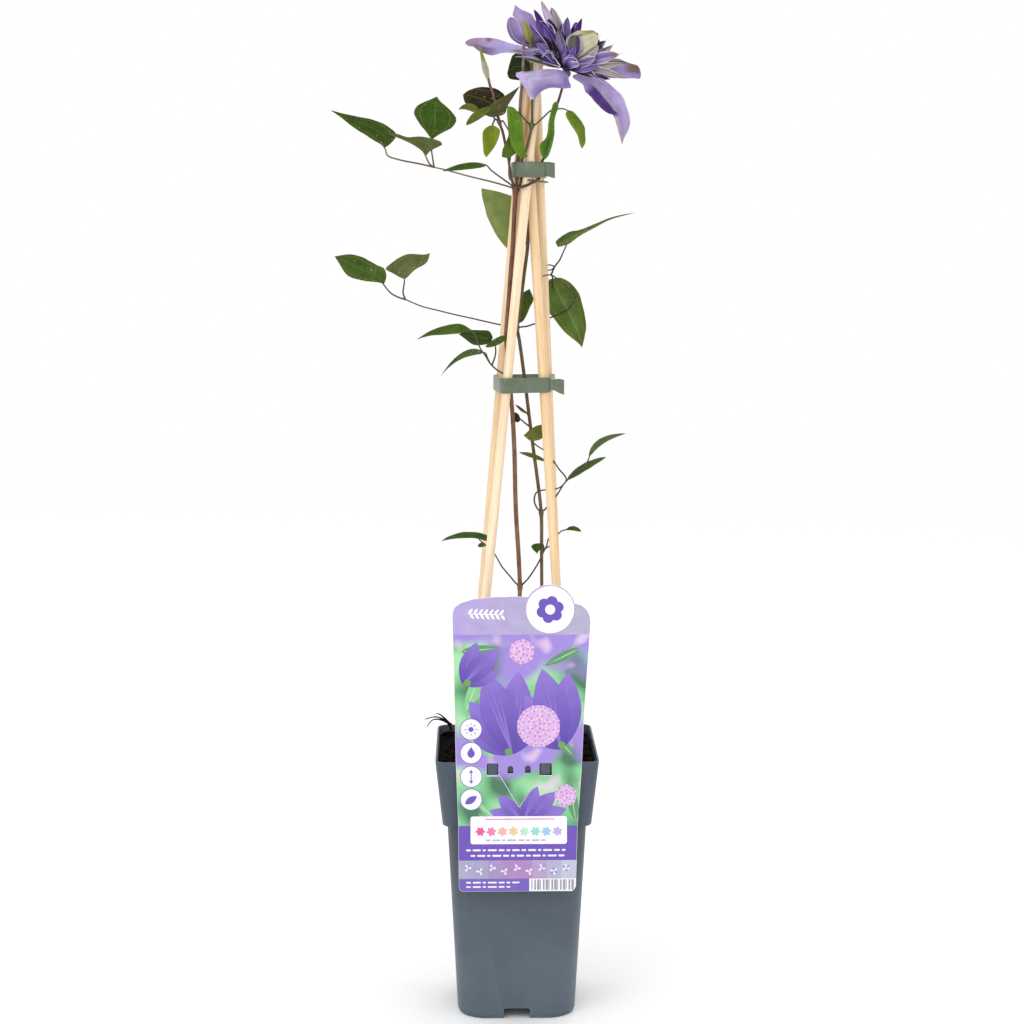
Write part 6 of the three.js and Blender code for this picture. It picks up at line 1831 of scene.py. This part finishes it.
# %% [markdown]
# ## The rosette
# About fifty petals spread from one dark heart. Their two edges lie straight out from the midrib,
# with a small twist, so each needs only its middle, its tip and half its width. Deep violet tints
# stand for inner faces, pale striped ones for backs that have curled forward, and dried tips are
# brown. One cream petal has rolled over, and it and the one behind it are drawn by their edges.

# %% Set the petals of the rosette
PETAL_LOOK = {"thickness": 0.26, "puff": 0.12, "ripple": 0.55, "waves": 2.4, "cup": 1.3, "ragged": 0.12}
PALE = [(-1, "#ece8f0"), (-0.84, "#dcd4e8"), (-0.7, "#8f82b6"), (-0.1, "#6a5a98"), (0.1, "#a497ca"),
        (0.75, "#9488ba"), (1, "#e6e1ee")]
LILAC = [(-1, "#cfc7e4"), (-0.8, "#7c6cb0"), (0, "#574690"), (0.15, "#7a69b0"), (0.8, "#6a58a2"),
         (1, "#b8aed6")]
DEEP = [(-1, "#a79cc8"), (-0.88, "#4a2a8e"), (0, "#38187c"), (0.7, "#2a105c"), (0.9, "#5c409c"),
        (1, "#b4aace")]
MID = [(-1, "#cfc6e6"), (-0.88, "#6848a8"), (0, "#6a4cac"), (0.1, "#503094"), (0.8, "#3e207a"),
       (1, "#9a8ebc")]
DARK = [(-1, "#6a5c88"), (-0.7, "#1a0f34"), (0.5, "#140a28"), (0.85, "#33254f"), (1, "#8a80a0")]
CREAM = [(-1, "#e4dfd2"), (-0.75, "#a79e90"), (-0.3, "#7f786c"), (0, "#c6c0a8"), (0.35, "#98908c"),
         (0.7, "#a79cb4"), (1, "#dcd6e0")]
DUSK = [(-1, "#b8aec0"), (-0.75, "#6f5f86"), (0.1, "#85768c"), (0.6, "#4c3a6c"), (1, "#9a90b0")]
SLATE = [(-1, "#8f84a4"), (-0.7, "#33264f"), (0, "#5a4f70"), (0.6, "#3c2e60"), (1, "#9a90b0")]
OLIVE = [(-1, "#c8c2b0"), (-0.6, "#6f683c"), (0.4, "#544c30"), (1, "#a49c88")]
PETAL_TWIST = 0.35
PETAL_BREADTH = 1.3
PETAL_WIDEST = 0.57
PETAL_FULLNESS = 1.05
ROLLED_RADIUS = 0.3
ROLLED_TINT = "#e9e5ee"
PETAL_FOOT = "#1a0d38"
PETAL_BACK = "#8a80b0"
FOOT_DARK = 0.16  # the share of a petal that is all dark at its foot
FOOT_FADE = 0.38  # the share over which it turns to its own tint


def rosette(centre, radius, petals, seed):
    """A whorl of petals round a dark ball. Each petal has its middle, tip, half width and stops."""
    skin = Skin()
    skin.add(*ball(centre, radius, 1, 14), tint="#1d1236")
    for number, (middle, tip, half_width, stops, *end) in enumerate(petals):
        middle, tip = sighted(*middle), sighted(*tip)
        length = tip - centre
        twist = Matrix.Rotation(PETAL_TWIST * math.sin(number * 2.4 + seed), 3, length)
        out = twist @ length.cross(Vector((0, 1, 0))).normalized() * half_width * PETAL_BREADTH
        wide_point = bend(centre, middle, tip, PETAL_WIDEST)
        left, right = wide_point + out, wide_point - out
        blade(skin, five_points(centre, middle, tip, left, right, PETAL_WIDEST, PETAL_FULLNESS),
              lambda u, w: between(PETAL_FOOT, tone_at(stops, u, w), (u - FOOT_DARK) / FOOT_FADE),
              PETAL_BACK, *end, look=PETAL_LOOK, seed=number * 0.61 + seed)
    return skin


def rolled(skin, points):
    """A thin petal that has rolled up to a thread."""
    line = smooth_line([sighted(*point) for point in points], 6)
    skin.add(*tube(line, lambda share, point: ROLLED_RADIUS * (1.1 - 0.8 * share), 6), tint=ROLLED_TINT)


front_petals = rosette(sighted(31.5, 611.5, -10.5), 2, [
    ((17.5, 621.5, -11.4), (3.8, 622.3, -11.8), 0.9, PALE),
    ((17, 615.6, -11.6), (-0.2, 618.8, -11.4), 0.8, PALE),
    ((20, 614.6, -12), (5.5, 617.4, -12), 1.3, OLIVE),
    ((23, 619, -13), (12.8, 626.8, -13), 3.0, LILAC),
    ((22, 616.6, -13), (11, 619.4, -13.2), 1.6, DARK),
    ((24, 615.6, -13.4), (14.5, 616.8, -13.6), 1.3, DEEP),
    ((26.5, 619, -13.5), (17, 631, -13), 2.3, DARK),
    ((24, 621.5, -14.4), (16.5, 618.2, -15), 0.5, PALE),
    ((29, 621, -13), (26.5, 635.5, -12.4), 2.5, DUSK),
    ((27.5, 618, -14), (22.3, 629.5, -14), 1.7, DARK),
    ((31.5, 618.5, -13.4), (31.5, 628.5, -13), 2.5, MID),
    ((35.5, 617.5, -14), (38.8, 625.5, -13.5), 3.0, MID),
    ((34.5, 620, -12.6), (34.5, 631, -12), 2.7, SLATE),
    ((37.5, 619, -12.4), (39.5, 630, -12.2), 2.2, DEEP),
    ((42.5, 617.5, -15), (52, 625.6, -15), 2.9, CREAM),
    ((42.5, 614.5, -16), (50.5, 618, -16), 2.5, PALE),
    ((41, 611.8, -16.4), (51.2, 612.6, -16.4), 2.2, LILAC),
    ((33, 615.5, -16), (36.5, 619.8, -17), 2.3, LILAC),
    ((36, 613.2, -16.6), (40.5, 613.6, -17.4), 1.7, PALE),
    ((30.5, 616.5, -15), (29.6, 620.5, -15.6), 1.5, LILAC),
    ((46, 620.5, -11), (56.9, 628.2, -10), 2.2, SLATE),
    ((46, 622, -11.5), (52.6, 629.2, -11), 1.9, DARK),
    ((50, 619, -10.4), (61, 625.8, -9.8), 1.7, CREAM),
    ((50, 616.5, -13), (65.3, 620, -12), 3.1, PALE, DRIED),
    ((52, 614.4, -12.4), (70.3, 615, -11), 1.7, CREAM, DRIED),
    ((52, 612.6, -13), (69, 614.4, -12), 1.5, CREAM),
    ((51, 610.6, -13.2), (67.8, 605.2, -12.2), 1.8, CREAM),
    ((48, 611, -12.6), (62, 607, -12.4), 2.2, PALE),
    ((44, 609.8, -12.8), (56, 606.8, -12.6), 1.9, [(-1, "#b39cc0"), (0, "#84668e"), (1, "#6a4f80")]),
    ((44, 608.4, -11), (60, 604.6, -11), 1.2, DARK),
    ((47, 607.2, -13.6), (58, 604, -13.6), 0.4, PALE),
], 0)


def curled_tint(u, w):
    """The tint of the rolled petal: cream, browner along one edge, with a violet patch."""
    tone = between("#c6c49a", "#cfcba6", (w + 1) / 1.4)
    tone = between(tone, "#8f8a58", min((u - 0.6) / 0.15, (-w - 0.35) / 0.3))
    return patch(tone, "#8a6f86", u, w, (0.55, -0.55), (0.1, 0.14))


blade(front_petals, drawn(
    (38, 619), [(33.5, 623), (32, 628), (32.4, 631), (36, 633.3), (39, 634.6), (44, 634.9), (49, 634.7)],
    (51.5, 632), [(41, 621), (46, 623), (51, 625.5), (52, 629)], (-12.4, -13.2, -12.6)),
    curled_tint, "#9a9468", look=PETAL_LOOK, seed=4.2)
blade(front_petals, drawn(
    (37, 618.5), [(34, 621), (32.5, 626), (34.5, 631)], (38, 632), [(40.5, 621), (41.5, 625), (40.5, 630)],
    (-13.6, -14.2, -13.8)),
    [(-1, "#5f5a64"), (0, "#6c6b60"), (0.5, "#35244f"), (0.8, "#6a5a90"), (1, "#d4cee6")],
    "#8f83c4", look=PETAL_LOOK, seed=5.1)
for points in [
        [(24, 617, -14), (19, 627, -14.6), (15, 632, -14.6), (10.5, 638, -14)],
        [(27, 614, -14.6), (21, 622.4, -15.4), (16, 618.4, -15.8)],
        [(28, 613, -15), (20, 622.3, -13.4), (14, 622.8, -13), (4, 622.4, -12.6)],
        [(28, 612.2, -13.4), (13, 617, -13), (8, 618.3, -12.8), (-0.6, 618.5, -12.6)],
        [(25, 633, -12.8), (23, 637.2, -12.8), (19.5, 639.9, -12.8), (14.6, 640.6, -12.8)],
        [(40, 613, -17.6), (37, 618, -17.8), (30, 617.2, -17.8)],
        [(46, 608, -13.8), (51, 605, -14), (57, 604.2, -14)],
        [(48, 609.6, -14), (54, 603.5, -14), (58, 601.5, -13.8)],
        [(52, 622, -11), (56.5, 628, -10.6), (58.6, 630.4, -10.4)],
        [(55, 620, -11), (60.6, 625.6, -10), (63, 627.6, -9.8)],
        [(49, 624, -11.6), (52.4, 629.8, -11.4), (53.6, 633.2, -11.2)],
        [(60, 617, -12.6), (65.8, 620.6, -12.2), (68.6, 620.4, -12)]]:
    rolled(front_petals, points)
make_piece("petals_front", front_petals, [petal_tissue])

back_petals = rosette(sighted(31.5, 612, -5), 2.4, [
    ((21, 628.5, -4.4), (11.3, 647.7, -4), 2.6, DEEP),
    ((21.5, 626, -6), (12.8, 641.5, -5.4), 3.3, MID),
    ((24.5, 627.5, -5), (20.5, 642, -4.4), 3.6, DEEP),
    ((24, 626.5, -7), (17.5, 638.5, -6.4), 2.6, MID),
    ((26.5, 627, -6.6), (24, 639, -6), 2.2, DARK),
    ((23.5, 634, -4), (15.7, 653.2, -3.6), 2.1,
     [(-1, "#a79cd4"), (-0.2, "#c3b8dc"), (0.2, "#c9b4b4"), (1, "#b0a4d4")]),
    ((27, 632, -3), (22.3, 649, -2), 3.1, CREAM),
    ((17.5, 626.5, -7.4), (8.4, 638.6, -6.6), 1.5, MID),
    ((19.5, 624, -8), (10.6, 634.8, -7.4), 1.8, DUSK),
    ((20.5, 622, -8.6), (12.5, 630, -8), 1.8, DARK),
    ((31, 627, -4), (32.5, 643, -1.6), 2.7, LILAC),
    ((29.5, 626, -4.6), (29, 639.5, -3), 2.2, DEEP),
    ((36.5, 627, -3), (41.8, 642.4, -1.6), 1.9, DEEP),
    ((34.5, 624, -3), (36.3, 637.5, -1), 2.8, DARK),
    ((43, 622, 0), (51.5, 633.4, 2), 4, DEEP),
    ((46, 618, 3), (59, 622.5, 7), 4, DEEP),
    ((36.5, 626, 3), (38, 640, 8.5), 4, MID),
    ((32, 624, 4), (27, 638, 10.5), 4, MID),
], 1.3)
make_piece("petals_back", back_petals, [petal_tissue])
print("faces in the rosette:", len(front_petals.faces) + len(back_petals.faces))

# %% [markdown]
# ## Floor and light
# The plant stands on a plain pale sweep in soft studio light: a broad lamp on the upper left,
# weaker ones on the right and behind, and an even white sky. The colours are shown as they are,
# with no film curve, so that a hex value given above is what the eye sees in full light.

# %% Set the floor, the lamps and the sky
LAMPS = [
    ("key", (-0.9, -1.2, 1.4), 7, 0.9),
    ("fill", (1.1, -0.9, 0.9), 1.5, 1.0),
    ("rim", (0.3, 1.2, 1.3), 3, 0.8),
]
LAMP_TARGET = Vector((0, 0, 0.35))
FLOOR_HALF = 4

floor_paper, add = start_material(
    "paper sweep, uncoated", IOR=1.5, Roughness=0.9, Specular_IOR_Level=0.1)
space = add("TexCoord").outputs["Object"]
pulp = add("TexNoise", {"Vector": space, "Scale": per_mm(3), "Detail": 3.0})
add("ValToRGB", {"Fac": pulp}, stops=[(0.3, "#fcfcfc"), (0.7, "#ffffff")], feeds="Base Color")

floor_shell = bmesh.new()
bmesh.ops.create_grid(floor_shell, x_segments=2, y_segments=2, size=FLOOR_HALF)
floor_mesh = bpy.data.meshes.new("floor")
floor_shell.to_mesh(floor_mesh)
floor_shell.free()
floor_mesh.materials.append(floor_paper)
floor = bpy.data.objects.new("floor", floor_mesh)
bpy.context.scene.collection.objects.link(floor)

sky = bpy.data.worlds.new("sky")
bpy.context.scene.world = sky
sky.use_nodes = True
sky.node_tree.nodes["Background"].inputs["Color"].default_value = (1, 1, 1, 1)
sky.node_tree.nodes["Background"].inputs["Strength"].default_value = 1.0
for name, spot, power, size in LAMPS:
    lamp = bpy.data.lights.new(name, "AREA")
    lamp.energy = power
    lamp.size = size
    lamp_object = bpy.data.objects.new(name, lamp)
    lamp_object.location = spot
    lamp_object.rotation_euler = (LAMP_TARGET - Vector(spot)).to_track_quat("-Z", "Y").to_euler()
    bpy.context.scene.collection.objects.link(lamp_object)
bpy.context.scene.view_settings.view_transform = "Standard"
print("lamps:", len(LAMPS))
